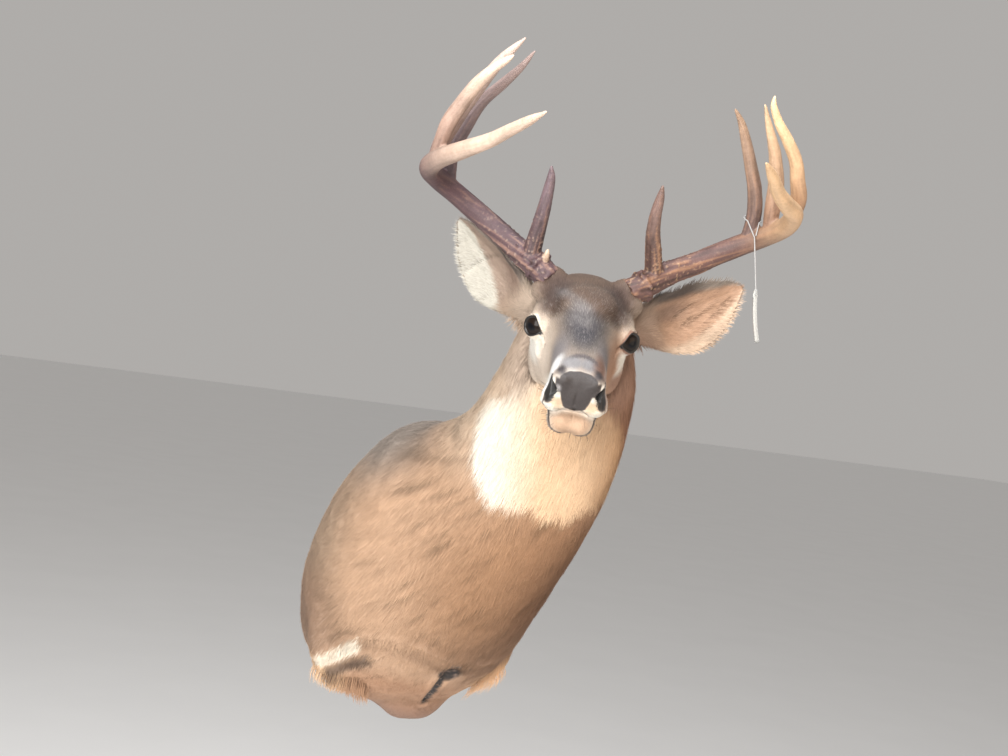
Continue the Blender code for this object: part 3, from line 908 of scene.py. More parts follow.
# the chest's ragged lower edge, the belly's seam and its tear, in the mount's frame
FRINGE = np.array(((-146, -96, -124), (-126, -146, -96), (-105, -173, -73), (-74, -198, -66),
                   (-46, -214, -70), (-14, -222, -82), (16, -224, -92), (44, -218, -90),
                   (70, -206, -92)), dtype=float)
SEAM = np.array(((17, -208, -98), (12, -201, -108), (9, -184, -128), (12, -152, -150),
                 (18, -120, -166)), dtype=float)
TEAR, TEAR_RADII = (16.0, -201.0, -104.0), (17.0, 26.0, 13.0)
# the lips' gap, the lower lip's edge, the eye's front groove and its bare skin, in the head's frame
MOUTH = np.array(((0, 171, -40), (11, 170, -40), (20, 164, -41), (26, 153, -43), (29, 138, -46),
                  (31, 120, -49), (33.5, 100, -51), (34, 84, -49)))
LIP = np.array(((31, 160, -33), (30.5, 157, -42), (28, 155, -50), (25, 155, -58), (20, 156, -66),
                (12, 157, -70)))
DUCT = np.array(((50, 19, 3), (46, 27, -3), (42, 36, -9)), dtype=float)
DUCT_SKIN = np.array(((50, 19, 3), (46, 27, -3), (43, 33, -7)), dtype=float)
NOSTRIL = np.array((27.0, 170.0, -15.0))
BURR = (66.0, -63.0, 60.0)
# half width of the nose pad at heights of the head's frame
NOSE_PAD = ((-40, 0), (-38, 8), (-34, 12.5), (-27, 15.5), (-18, 18), (-9, 20.5), (-3, 21.5), (0, 20.5),
            (3, 17.5), (5.5, 12), (7, 0))


def fringe_height(mount: Array) -> Array:
    """Return how high the chest's ragged edge is at places' x."""
    return np.interp(mount[:, 0], FRINGE[:, 0], FRINGE[:, 2])


def burr_gap(head: Array) -> Array:
    """Return how far places are from the nearer antler's foot."""
    return np.linalg.norm(head * (0, 1, 1) + np.abs(head) * (1, 0, 0) - BURR, axis=1)


@dataclass(frozen=True)
class Markings:
    """The coat's colours: buff body, dark crown, pale rings, cream throat, black leather."""

    body: Triple = (0.53, 0.345, 0.225)
    face: Triple = (0.44, 0.35, 0.275)
    cream: Triple = (0.8, 0.56, 0.36)
    white: Triple = (0.86, 0.82, 0.73)
    leather: Triple = (0.027, 0.021, 0.02)
    patches: tuple[Patch | Stripe, ...] = (
        # trunk and neck
        Patch((-30, -50, 205), (190, 120, 75), (0.3, 0.248, 0.21), 0.6, Space.MOUNT),
        # right shoulder: a darker, greyer upright band, partly the coat's colour and partly painted shade
        # by the shoulder blade
        Patch((-150, -40, 60), (60, 90, 160), (0.37, 0.26, 0.18), 0.6, Space.MOUNT),
        Patch((10, -235, 265), (50, 70, 90), (0.6, 0.46, 0.34), 0.6, Space.MOUNT),
        Patch((50, -270, 30), (100, 130, 130), (0.38, 0.218, 0.125), 0.6, Space.MOUNT),
        Patch((88, -290, 95), (66, 90, 90), (0.4, 0.225, 0.125), 0.6, Space.MOUNT),
        # left flank: darker and warmer, partly the coat's colour and partly painted shade of the side
        # turned from the light
        Patch((144, -185, 30), (98, 210, 195), (0.22, 0.115, 0.066), 0.55, Space.MOUNT),
        Patch((60, -200, -60), (80, 90, 46), (0.34, 0.2, 0.122), 0.6, Space.MOUNT, strength=0.7),
        Patch((-150, -60, -60), (50, 90, 70), (0.29, 0.185, 0.125), 0.6, Space.MOUNT),
        # left side of the neck: darker and warmer, partly the coat's colour and partly painted shade of
        # the side turned from the light
        Patch((140, -270, 290), (62, 150, 130), (0.25, 0.125, 0.075), 0.5, Space.MOUNT),
        Patch((-22, -118, -160), (100, 88, 60), (0.45, 0.255, 0.15), 0.35, Space.MOUNT),
        Patch((10, -70, -196), (80, 70, 30), (0.3, 0.175, 0.12), 0.6, Space.MOUNT),
        Patch((-128, -78, -130), (30, 50, 30), (0.76, 0.5, 0.3), 0.5, Space.MOUNT),
        Patch((104, -110, -120), (50, 60, 40), (0.8, 0.5, 0.29), 0.5, Space.MOUNT),
        Stripe(((-138, -108, -114), (-120, -132, -94), (-104, -156, -77)), 10, (0.95, 0.85, 0.7), 0.5,
               space=Space.MOUNT),
        # painted shade: a dark stripe under the right stub's white armpit, where its underside is shaded
        Stripe(((-124, -116, -126), (-106, -134, -113), (-88, -158, -98)), 10, (0.13, 0.085, 0.06), 0.6,
               0.9, space=Space.MOUNT),
        Stripe(SEAM, 5, (0.11, 0.07, 0.055), 0.6, 0.8, space=Space.MOUNT),
        # painted shade: near-black inside the belly's tear
        Patch((17, -208, -100), (18, 22, 15), (0.06, 0.042, 0.034), 0.5, Space.MOUNT),
        Patch((75, -341, 240), (11, 16, 6), (0.34, 0.235, 0.16), 0.6, Space.MOUNT, strength=0.7),
        # head
        # right cheek: pale coat, made paler still as painted light
        Patch((-50, 20, -34), (26, 82, 44), (0.8, 0.68, 0.57), 0.55, paired=False),
        # left face and jaw: darker, redder coat, partly painted shade of the side turned from the light
        Patch((46, 55, -20), (24, 80, 34), (0.5, 0.3, 0.2), 0.6, paired=False),
        Patch((60, -30, -50), (28, 60, 44), (0.43, 0.26, 0.185), 0.6, paired=False),
        Patch((-64, -60, -40), (26, 40, 50), (0.42, 0.325, 0.255), 0.6, paired=False),
        Patch((0, 56, 36), (38, 66, 22), (0.115, 0.094, 0.086), 0.6, strength=0.85),
        Patch((2, 84, 30), (20, 74, 24), (0.075, 0.069, 0.076), 0.75),
        Patch((0, -24, 56), (76, 64, 42), (0.14, 0.092, 0.068), 0.25),
        Patch((39, 12, 38), (22, 24, 17), (0.1, 0.066, 0.05), 0.4),
        Patch((38, -18, 48), (18, 32, 20), (0.095, 0.066, 0.058), 0.6, strength=0.8),
        Patch((22, 22, 48), (26, 36, 16), (0.13, 0.085, 0.064), 0.5, paired=False),
        Stripe(((-42, -20, 50), (-28, 8, 52), (-12, 34, 48), (2, 58, 40), (4, 78, 35)), 6.0,
               (0.18, 0.16, 0.155), 0.9, 0.7, paired=False),
        Patch((-6, 56, 38), (14, 22, 14), (0.19, 0.172, 0.17), 0.7, paired=False, strength=0.7),
        Patch((25, 118, 6), (12, 46, 18), (0.205, 0.19, 0.2), 0.6, strength=0.85),
        Patch((58, -4, -21), (19, 36, 20), (0.98, 0.94, 0.86), 0.45),
        Patch((31, 147, -8), (12, 16, 30), (0.79, 0.78, 0.76), 0.45),
        Patch((10, 160, 11), (14, 12, 8), (0.26, 0.255, 0.265), 0.5, strength=0.9),
        Patch((22, 150, 6), (9, 24, 15), (0.2, 0.115, 0.085), 0.6, paired=False),
        Patch((33, 150, -14), (7, 20, 26), (0.42, 0.27, 0.2), 0.5, paired=False, strength=0.8),
        Patch((19, 167, 1), (6, 9, 7), (0.06, 0.052, 0.055), 0.4),
        Stripe(((-17, 152, 7), (-8, 150, 15), (2, 150, 18), (12, 151, 14), (19, 154, 4)), 3.6,
               (0.1, 0.085, 0.09), 0.6, 0.9, paired=False),
        Patch((0, 60, -80), (40, 110, 17), (0.66, 0.58, 0.47), 0.4),
        Patch((0, 150, -56), (27, 36, 20), (0.55, 0.37, 0.25), 0.3),
        Patch((18, 166, -31), (10, 15, 8), (0.62, 0.47, 0.33), 0.3),
        Stripe(LIP, 4.6, (0.05, 0.038, 0.034), 0.5, 0.92),
    )

    def rings(self, colours: Array, head: Array) -> Array:
        """Return colours with the rings round the eyes: pale on the right, and brown on the left, partly
        painted shade of the side turned from the light.
        """
        for side in Side:
            reach, outside, level, up = SOCKET.measure(side, head)
            wide = np.where(up > 0, 15.0, 26.0) - 4.0 * ease(10.0, 50.0, level)
            ring = (1 - ease(wide * 0.7, wide * 1.25, outside)) * (1 - ease(27.0, 34.0, reach))
            tone = (0.98, 0.88, 0.74) if side is Side.RIGHT else (0.27, 0.135, 0.088)
            colours = over(colours, tone, 0.9 * ring[:, None])
        return colours

    def throat(self, mount: Array) -> Array:
        """Return how far each place is in the cream throat bib, from 0 to 1."""
        turn = math.radians(20.0)
        across = (mount[:, 0] - 72) * math.cos(turn) - (mount[:, 1] + 345) * math.sin(turn) + 19
        ahead = -(mount[:, 1] + 250) - 0.25 * mount[:, 0]
        wander = 5.0 * np.sin(across / 13.0) + 3.0 * np.sin(across / 5.3 + 1.0)
        rise = mount[:, 2] - 222 + wander
        square, tall = 2.6, np.where(rise < 0, 74, 90)
        reach = (np.abs(across / 92) ** square + np.abs(rise / tall) ** square) ** (1 / square)
        return (1.0 - ease(0.93, 1.07, reach)) * ease(-4.0, 22.0, ahead)

    def ear(self, colours: Array, head: Array, facing: Array) -> Array:
        """Return colours with the ears' own over them, and painted shade along each ear's inner rim.

        Args:
            colours: one per place.
            head: the places in the head's frame.
            facing: normals there, in the head's frame.
        """
        for ear in EARS:
            along, across, inside = ear.measure(head, facing)
            weight = ear.belongs(head) * ease(0.1, 0.3, along)
            out = across * ear.outer
            rim = (ease(0.72, 1.0, np.abs(across)) * ease(0.5, 0.9, along))[:, None]
            back = np.array((0.34, 0.25, 0.185)) * (1 - 0.35 * rim)
            fold = ((1 - ease(0.05, 0.5, np.abs(out + 0.3))) * (1 - ease(0.35, 0.6, along)))[:, None]
            front = over(np.array(ear.inner), (0.28, 0.19, 0.15), 0.7 * fold)
            start = ear.pale[0] - ear.pale[1] * along
            front = over(front, ear.edge, ease(start - 0.1, start + 0.1, out)[:, None])
            tip = ease(0.5, 0.75, along)[:, None]
            # painted shade along the inner rim, darkest near the root and lighter toward the tip
            rim_shade = over(np.array((0.15, 0.12, 0.105)), (0.4, 0.34, 0.29), tip)
            front = over(front, rim_shade, ease(-0.5, -0.8, out)[:, None])
            tone = over(back, front, ease(-0.15, 0.25, inside)[:, None])
            colours = over(colours, tone, weight[:, None])
        return colours

    def lay(self, mount: Array, facing: Array) -> Array:
        """Return the coat's colour at each place.

        Args:
            mount: the places in the mount's frame.
            facing: the normals there.

        Returns:
            One colour per place.
        """
        head = HEAD.to_head(mount)
        facing_head = facing @ HEAD.axes()
        share = (ease(-150, -70, head[:, 1]) * ease(-115, -75, head[:, 2]))[:, None]
        colours = over(np.array(self.body), self.face, share)
        split = next(i for i, patch in enumerate(self.patches) if patch.space is Space.HEAD)
        for patch in self.patches[:split]:
            colours = patch.lay(colours, mount, head)
        bib = self.throat(mount)[:, None]
        tone = over(np.array(self.white), self.cream, ease(-20.0, 60.0, mount[:, 0])[:, None])
        # painted shade: the bib darkens and warms toward the deer's left side, turned from the light
        far = 1 - ease(90.0, 155.0, mount[:, 0])[:, None] * np.array((0.42, 0.52, 0.6))
        colours = over(colours, tone * far, bib)
        for patch in self.patches[split:]:
            colours = patch.lay(colours, mount, head)
        colours = self.rings(colours, head)
        return self.ear(colours, head, facing_head)


# ---------------------------------------------------------------- ears, eye sockets and hide
@dataclass(frozen=True)
class Ear:
    """One ear: a cupped leaf that grows out of a solid root, in the head's frame."""

    side: Side
    root: Triple
    tip: Triple
    opening: Triple
    half_width: float
    bow: float
    outer: float
    pale: tuple[float, float]
    inner: Triple
    edge: Triple
    stations: tuple[tuple[float, float, float, float], ...] = (
        # along, half width, cup depth, thickness
        (-0.02, 0.46, 0.0, 24), (0.10, 0.60, 0.04, 26), (0.20, 0.78, 0.12, 24), (0.30, 0.92, 0.40, 15),
        (0.42, 0.98, 0.60, 6.5), (0.56, 0.99, 0.56, 5), (0.70, 0.84, 0.43, 4.5), (0.83, 0.60, 0.28, 4),
        (0.93, 0.34, 0.13, 3.5), (1.0, 0.08, 0.02, 3),
    )

    def axes(self) -> tuple[Array, Array, Array, float]:
        """Return the ear's axis, its sideways way, its opening's way, and its length."""
        base, end = np.array(self.root), np.array(self.tip)
        length = float(np.linalg.norm(end - base))
        axis = (end - base) / length
        facing = np.array(self.opening)
        facing = unit(facing - axis * (facing @ axis))
        return axis, np.cross(axis, facing), facing, length

    def middle(self, along: Array) -> Array:
        """Return how far the midline bows sideways at places along it."""
        return self.bow * np.sin(math.pi * np.clip(along, 0.0, 1.0))

    def measure(self, head: Array, facing: Array) -> tuple[Array, Array, Array]:
        """Measure places on the ear.

        Args:
            head: the places in the head's frame.
            facing: the normals there.

        Returns:
            How far along (0 to 1), how far across (-1 to 1) and how much they face the opening.
        """
        axis, across, opening, length = self.axes()
        gap = head - np.array(self.root)
        along = gap @ axis / length
        rows = np.array(self.stations)
        wide = np.interp(along, rows[:, 0], rows[:, 1]) * self.half_width
        return along, (gap @ across - self.middle(along)) / np.maximum(wide, 3.0), facing @ opening

    def belongs(self, head: Array) -> Array:
        """Return 1 where places are on this ear's side of the head and near its leaf, else 0."""
        axis, across, opening, _ = self.axes()
        gap = head - np.array(self.root)
        off = gap - (gap @ axis)[:, None] * axis
        near = (np.abs(off @ opening) < 34) & (np.abs(off @ across) < self.half_width + 24)
        return (near & (gap @ axis > 0) & (head[:, 0] * self.side.value > 0)).astype(float)

    def rings(self, last: float, steps: int, columns: int, shrink: float) -> list[Array]:
        """Return the ear's rings.

        Args:
            last: how far along they go.
            steps: rings between two stations.
            columns: points across each face.
            shrink: how much thinner than the coat's outside it is.
        """
        axis, across, facing, length = self.axes()
        base = np.array(self.root)
        rings = []
        for along, wide, cup, thick in catmull(self.stations, steps):
            if along > last:
                break
            spread, depth = wide * self.half_width - shrink, cup * self.half_width
            thick = max(thick - 2 * shrink, 1.6)
            middle = float(self.middle(np.array(along)))
            crinkle = 0.02 * self.half_width * math.sin(along * 19.0) * (along > 0.3)
            ring = []
            for back, order in ((1.0, range(columns + 1)), (-1.0, range(columns, -1, -1))):
                for step in order:
                    u = -1.0 + 2.0 * step / columns
                    edge = math.sqrt(max(0.0, 1.0 - u * u))
                    lift = -depth * (1.0 - u * u) - back * 0.5 * thick * (0.25 + 0.75 * edge)
                    rib = 0.5 * math.cos(u * 16.0) * (cup > 0.2) * (back < 0)
                    ring.append(base + axis * along * length + across * (max(spread, 1.0) * u + middle)
                                + facing * (lift + depth * 0.5 + rib + crinkle * u * u))
            rings.append(HEAD.to_mount(np.array(ring)))
        return rings


EARS = (
    Ear(Side.RIGHT, (-60, -88, -2), (-178, -142, 91), (-0.25, 0.85, -0.45), half_width=46, bow=8,
        outer=1.0, pale=(1.0, 1.35), inner=(0.38, 0.285, 0.225), edge=(0.59, 0.56, 0.49)),
    Ear(Side.LEFT, (60, -84, 2), (200, -142, 66), (0.10, 0.98, 0.05), half_width=43, bow=-14,
        outer=-1.0, pale=(0.9, 0.5), inner=(0.58, 0.37, 0.25), edge=(0.66, 0.49, 0.36)),
)


@dataclass(frozen=True)
class Socket:
    """An eye and the lids round it, in the head's frame, for the deer's left."""

    seat: Triple = (52.0, 2.0, 6.0)
    radius: float = 16.5
    gaze: float = 37.0
    long_half: float = 46.0
    forward: float = 12.0
    upper: float = 42.0
    lower: float = 36.0
    lid: float = 1.7
    slant: float = 10.0

    def axes(self, side: Side) -> tuple[Array, Array, Array]:
        """Return the ways the eye looks, toward its front corner, and up."""
        sign, gaze, slant = side.value, math.radians(self.gaze), math.radians(self.slant)
        look = unit(np.array((sign * math.cos(gaze), math.sin(gaze), 0.06)))
        front = unit(np.array((-sign * math.sin(gaze), math.cos(gaze), -math.tan(slant))))
        front = unit(front - look * (front @ look))
        rise = np.cross(look, front) * sign
        return look, front, rise if rise[2] > 0 else -rise

    def measure(self, side: Side, head: Array) -> tuple[Array, Array, Array, Array]:
        """Measure places round the eye.

        Args:
            side: which eye.
            head: the places in the head's frame.

        Returns:
            Their distance from the eye's centre, their angle outside the lids' edge (negative
            inside), the angle toward the front corner, and the angle up.
        """
        look, front, rise = self.axes(side)
        gap = head - np.array(self.seat) * side.mirror
        reach = np.linalg.norm(gap, axis=1)
        way = gap / np.maximum(reach, 1e-6)[:, None]
        ahead = way @ look
        ahead = np.where(ahead > 0.05, ahead, 0.05)
        level = np.degrees(np.arctan2(way @ front, ahead)) - self.forward
        up = np.degrees(np.arctan2(way @ rise, ahead))
        tall = np.where(up > 0, self.upper, self.lower)
        edge = np.sqrt(np.abs(level / self.long_half) ** 1.8 + (up / tall) ** 2)
        outside = (edge - 1.0) * (self.upper + self.lower) / 2
        return reach, np.where(way @ look > 0.05, outside, 90.0), level, up

    def close_lids(self, head: Array) -> Array:
        """Return places drawn over the eyes as lids, and pulled behind the glass in the openings."""
        head = head.copy()
        for side in Side:
            centre = np.array(self.seat) * side.mirror
            reach, outside, _, up = self.measure(side, head)
            near = (reach < 34) & (outside < 60)
            rim = 0.9 * bump(outside - 4, 4) - 0.9 * bump(outside - 13, 4) * (up > 0)
            above = np.maximum(reach, self.radius + self.lid + rim)
            thin = np.minimum(above, self.radius + self.lid + 0.6 + rim * 0.8)
            above = np.where(outside > 9, above, thin)
            under = np.minimum(reach, self.radius - 1.8)
            target = over(under, above, ease(-2.5, 1.5, outside))
            way = (head - centre) / np.maximum(reach, 1e-6)[:, None]
            head[near] = (centre + way * target[:, None])[near]
        return head


SOCKET = Socket()


@dataclass(frozen=True)
class Hide:
    """The skin: trunk, neck, head, stubs and ears in one, inside the coat's tips."""

    ring_points: int = 44
    voxel: float = 3.6
    passes: int = 9
    low_passes: int = 26
    body: tuple = (
        # top y, z      bottom y, z    side  half  turn  egg
        ((0, 194), (0, -178), 0, 140, 0, 0.22),
        ((-14, 222), (-14, -194), 0, 156, 0, 0.22),
        ((-60, 230), (-88, -186), 0, 158, 0, 0.22),
        ((-108, 232), (-172, -140), 4, 144, 2, 0.18),
        ((-150, 244), (-238, -72), 18, 124, 5, 0.12),
        ((-190, 270), (-296, 10), 41, 105, 9, 0.07),
        ((-224, 318), (-336, 100), 64, 96, 14, 0.03),
        ((-252, 374), (-350, 180), 78, 89, 18, 0.0),
        ((-284, 416), (-342, 246), 82, 82, 22, 0.0),
        ((-318, 428), (-330, 300), 78, 70, 25, 0.0),
    )
    skull: tuple = (
        # forward half  top  bottom widest square
        (-128, 40, 40, -50, -5, 2.0), (-105, 56, 58, -74, 0, 2.1), (-75, 63, 64, -90, 0, 2.2),
        (-45, 64, 65, -92, -2, 2.2), (-22, 61, 61, -88, -6, 2.2), (0, 56, 56, -82, -12, 2.2),
        (20, 49, 50, -76, -18, 2.2), (45, 43, 43, -70, -22, 2.2), (80, 36.5, 35, -66, -23, 2.3),
        (115, 33.5, 28, -64, -22, 2.4), (142, 33, 22, -63, -20, 2.4), (160, 31, 14, -52, -16, 2.4),
        (172, 25, 6, -34, -13, 2.3), (176, 15, -2, -24, -12, 2.1),
    )
    pairs: tuple = (
        ((49, -10, 24), (16, 24, 11)), ((54, -24, 8), (13, 15, 24)), ((40, -48, -42), (22, 44, 40)),
        ((40, 8, -24), (15, 32, 12)), ((22, 146, -34), (17, 30, 17)), ((17, 164, -6), (13, 16, 13)),
        ((11, 143, -58), (18, 26, 17)),
        ((46, -60, 52), (20, 21, 19)), ((56, -48, 38), (17, 19, 17)), ((54, -86, 4), (20, 24, 26)),
    )
    singles: tuple = (((0, -10, 42), (40, 60, 22)),)
    muscles: tuple = (
        ((-108, -90, -60), (54, 60, 96)), ((108, -90, -60), (50, 60, 90)), ((14, -66, -146), (66, 60, 66)),
    )
    stubs: tuple = (
        ((-98, -84, -92), (-110, -74, -150), 48, 32), ((92, -98, -84), (118, -96, -140), 42, 26),
    )
    row_steps: int = 5
    low_top: float = 30.0
    low_back: float = -200.0

    def body_rings(self) -> list[Array]:
        """Return the rings of the trunk and neck, from the wall to the skull."""
        rows = [(*top, *low, side, width, turn, egg) for top, low, side, width, turn, egg in self.body]
        rings = []
        for top_y, top_z, low_y, low_z, side, width, turn, egg in catmull(rows, self.row_steps):
            top, low = np.array((side, min(top_y, 0.0), top_z)), np.array((side, min(low_y, 0.0), low_z))
            across = np.array((math.cos(math.radians(turn)), -math.sin(math.radians(turn)), 0.0))
            angle = round_angles(self.ring_points)
            height = np.sin(angle)[:, None]
            reach = np.cos(angle)[:, None] * (1.0 - egg * height) * width
            rings.append((top + low) / 2 + (top - low) / 2 * height + across * reach)
        return rings

    def skull_rings(self) -> list[Array]:
        """Return the rings of the head, from the nape to the nose pad."""
        rings = []
        for forward, width, top, low, widest, square in catmull(self.skull, self.row_steps):
            angle = round_angles(self.ring_points)
            out, rise = np.cos(angle), np.sin(angle)
            out = np.copysign(np.abs(out) ** (2 / square), out)
            rise = np.copysign(np.abs(rise) ** (2 / square), rise)
            reach = np.where(rise > 0, top - widest, widest - low)
            ring = np.column_stack((out * width, np.full(len(out), forward), widest + rise * reach))
            rings.append(HEAD.to_mount(ring))
        return rings

    def stub_rings(self, upper: Triple, lower: Triple, wide: float, narrow: float) -> list[Array]:
        """Return the rings of one foreleg's stub between its upper and lower end."""
        rings = []
        for t, size in ((0.0, 1.0), (0.35, 1.0), (0.7, 1.0), (0.9, 0.86), (1.0, 0.55)):
            radius = (wide + (narrow - wide) * t) * size
            centre = np.array(upper) * (1 - t) + np.array(lower) * t
            angle = round_angles(24)
            ring = np.column_stack((radius * np.cos(angle), 0.8 * radius * np.sin(angle), 0 * angle))
            rings.append(centre + ring)
        return rings

    def form(self) -> bpy.types.Mesh:
        """Return trunk, neck, head, stubs and the ears' roots melted into one skin."""
        shape = bmesh.new()
        loft(shape, self.body_rings())
        loft(shape, self.skull_rings())
        for upper, lower, wide, narrow in self.stubs:
            loft(shape, self.stub_rings(upper, lower, wide, narrow))
        for ear in EARS:
            loft(shape, ear.rings(0.36, 3, 10, 1.0))
        for side in Side:
            out, forward, up = SOCKET.seat
            lids = (SOCKET.radius + SOCKET.lid + 2.2,) * 3
            ball(shape, (side.value * out, forward, up), lids, Space.HEAD, 36)
            for (out, forward, up), radii in self.pairs:
                ball(shape, (side.value * out, forward, up), radii, Space.HEAD)
        for forms, space in ((self.singles, Space.HEAD), (self.muscles, Space.MOUNT)):
            for centre, radii in forms:
                ball(shape, centre, radii, space)
        mesh = blended(shape, self.voxel, self.passes)
        shape = bmesh.new()
        shape.from_mesh(mesh)
        low = [vert for vert in shape.verts
               if vert.co.z < self.low_top * MM and vert.co.y > self.low_back * MM]
        soften(shape, low, self.low_passes)
        return to_mesh("hide_form", shape)

    def refine(self, shape: bmesh.types.BMesh, wanted: Callable[[Array], Array]) -> None:
        """Halve the faces in part of the head.

        Args:
            shape: the skin.
            wanted: says which places, in the head's frame, are to be finer.
        """
        centres = HEAD.to_head(np.array([face.calc_center_median() for face in shape.faces]) / MM)
        chosen = np.flatnonzero(wanted(centres))
        shape.faces.ensure_lookup_table()
        edges = list({edge for index in chosen for edge in shape.faces[index].edges})
        made = bmesh.ops.subdivide_edges(shape, edges=edges, cuts=1, use_grid_fill=True)
        verts = [item for item in made["geom"] if isinstance(item, bmesh.types.BMVert)]
        soften(shape, verts, 2)

    @staticmethod
    def is_front(head: Array) -> Array:
        """Say which places are on the front of the head."""
        x, y, z = head.T
        return (y > -34) & (np.abs(x) < 80) & (z > -100) & (z < 90)

    @staticmethod
    def is_feature(head: Array) -> Array:
        """Say which places are round the eyes, nose and mouth."""
        x, y, z = head.T
        eye = np.linalg.norm(np.stack((np.abs(x) - 60, y - 6, z - 6), axis=1), axis=1) < 30
        muzzle = (y > 138) & (z > -70) & (z < 22)
        lip = (y > 70) & (z > -60) & (z < -36) & (np.abs(x) > 15)
        return eye | muzzle | lip

    @staticmethod
    def depth(mount: Array) -> Array:
        """Return the coat's depth at places of the mount."""
        head = HEAD.to_head(mount)
        body = 5.5 - 1.5 * ease(120, 260, mount[:, 2])
        on_head = ease(-120, -60, head[:, 1]) * ease(-110, -80, head[:, 2])
        face = 2.6 - 1.6 * ease(40, 150, head[:, 1]) - 0.9 * ease(160, 172, head[:, 1])
        return body * (1 - on_head) + face * on_head

    def carve(self, mount: Array, facing: Array) -> Array:
        """Return the skin's places with its folds, lids, nostrils and lips.

        Args:
            mount: places in the mount's frame.
            facing: the normals there.
        """
        mount = mount - facing * self.depth(mount)[:, None]
        low = 1 - ease(60, 180, HEAD.to_head(mount)[:, 1] + 150)
        wave = 1.6 * ripple(mount, 46.0) + 0.7 * ripple(mount, 17.0, 5.0)
        mount = mount + facing * (low * wave)[:, None]
        # the coat of the chest overhangs the sewn belly
        gap, _ = to_line(mount, FRINGE, facing)
        below = fringe_height(mount) - mount[:, 2]
        inset = bump(below - 8, 8) - 0.3 * bump(below + 8, 9)
        mount = mount - facing * (2.2 * inset * ease(36.0, 14.0, gap))[:, None]
        gap, _ = to_line(mount, SEAM, facing)
        mount = mount - facing * (4.0 * bump(gap, 3.6) - 1.6 * bump(gap - 10, 4))[:, None]
        mount = mount - facing * (7.0 * (1 - ease(0.3, 1.1, oval(mount, TEAR, TEAR_RADII))))[:, None]
        normal = facing @ HEAD.axes()
        head = SOCKET.close_lids(HEAD.to_head(mount))
        for side in Side:
            head = self.carve_face(head, normal, side)
        # groove under the middle of the nose
        groove = bump(head[:, 0], 1.6) * ease(150, 165, head[:, 1]) * (1 - ease(-22, -12, head[:, 2]))
        head = head - normal * (1.1 * groove * (head[:, 2] > -39))[:, None]
        return HEAD.to_mount(head)

    @staticmethod
    def carve_face(head: Array, normal: Array, side: Side) -> Array:
        """Return places with one side's tear duct, nostril, mouth and lower lip.

        Args:
            head: the places in the head's frame.
            normal: the normals there, in the same frame.
            side: which side.
        """
        sign = side.value
        gap, _ = to_line(head, DUCT * side.mirror, normal)
        head = head - normal * (2.2 * bump(gap, 2.6))[:, None]
        # nostril: a comma-shaped opening under a raised wing
        out = unit(np.array((sign * 0.8, 0.6, -0.05)))
        level = unit(np.array((-sign * 0.6, 0.8, 0.0)))
        rise = np.cross(out, level)
        rise = rise if rise[2] > 0 else -rise
        gap = head - NOSTRIL * side.mirror
        u, v, w = gap @ level, gap @ rise, gap @ out
        u = u + 0.035 * (v + 4) ** 2 - 1.0
        ring = np.sqrt((u / 5.5) ** 2 + (v / 11.0) ** 2)
        near = (np.abs(w) < 20) & (normal @ out > -0.2)
        head = head - out * (9.0 * (1 - ease(0.45, 1.1, ring)) * near)[:, None]
        head = head + out * (1.3 * bump(ring - 1.45, 0.3) * near * (v > -6))[:, None]
        # mouth
        gap, _ = to_line(head, MOUTH * side.mirror, normal)
        side_of = head[:, 0] * sign > -1.0
        level = np.interp(head[:, 1], MOUTH[::-1, 1], MOUTH[::-1, 2])
        head = head - normal * ((3.0 * bump(gap, 2.0)) * side_of)[:, None]
        above = head[:, 2] - level
        lip, _ = to_line(head, LIP * side.mirror, normal)
        fold = 2.2 * bump(lip, 2.4) - 0.9 * bump(lip - 5.5, 3) * (np.abs(head[:, 0]) < 24)
        head = head - normal * fold[:, None]
        roll = 1.1 * bump(above - 5, 3) - 0.9 * bump(above + 6, 4)
        return head + normal * (roll * (gap < 14) * side_of)[:, None]

    @staticmethod
    def bare(head: Array, facing: Array) -> tuple[Array, Array]:
        """Say where the skin is bare.

        Args:
            head: places in the head's frame.
            facing: the normals there.

        Returns:
            Black leather, and where it is darker still: the lids' and tear ducts' own dark skin, and
            painted shade in the nostrils' openings and the mouth's crease, both from 0 to 1.
        """
        x, y, z = head.T
        wide = np.abs(x)
        half = np.interp(z, *np.array(NOSE_PAD).T)
        leather = (1 - ease(-0.8, 1.2, wide - half)) * ease(140, 152, y) * ((z > -40) & (z < 7))
        folded = np.column_stack((wide, y, z))
        wing = 1 - ease(0.9, 1.1, oval(folded, (28.5, 164, -20), (8.5, 14, 18.5)))
        leather = np.maximum(leather, wing)
        bridge = (1 - ease(24, 27, wide)) * ease(12, 14, wide) * ease(-21, -17, z)
        bridge = bridge * (1 - ease(-4, 0, z)) * ease(146, 152, y)
        leather = np.maximum(leather, bridge)
        # painted shade in the nostril's opening
        dark = 1 - ease(0.9, 1.1, oval(folded, (27.5, 163, -20), (8, 13, 16.5)))
        for side in Side:
            reach, outside, _, _ = SOCKET.measure(side, head)
            lid = (1 - ease(4.5, 7.5, outside)) * (reach < 24)
            gap, _ = to_line(head, DUCT_SKIN * side.mirror)
            lid = np.maximum(lid, 1 - ease(2.6, 4.4, gap))
            gap, where = to_line(head, MOUTH * side.mirror, facing)
            thick = 1.0 + 3.4 * ease(0.18, 0.5, where)
            lips = (1 - ease(thick * 0.6, thick * 1.3, gap)) * (0.45 + 0.55 * ease(0.1, 0.3, where))
            # the lids' dark skin, and painted shade in the mouth's crease
            dark = np.maximum(np.maximum(dark, lid), (1 - ease(1.0, 2.6, gap)) * ease(0.1, 0.4, where))
            gap, where = to_line(head, LIP * side.mirror, facing)
            thick = 3.8 - 2.2 * ease(0.3, 0.8, where)
            lower = (1 - ease(thick * 0.6, thick * 1.3, gap)) * (1 - 0.6 * ease(0.7, 0.95, where))
            leather = np.maximum.reduce((leather, lid, lips, lower))
        return leather, dark

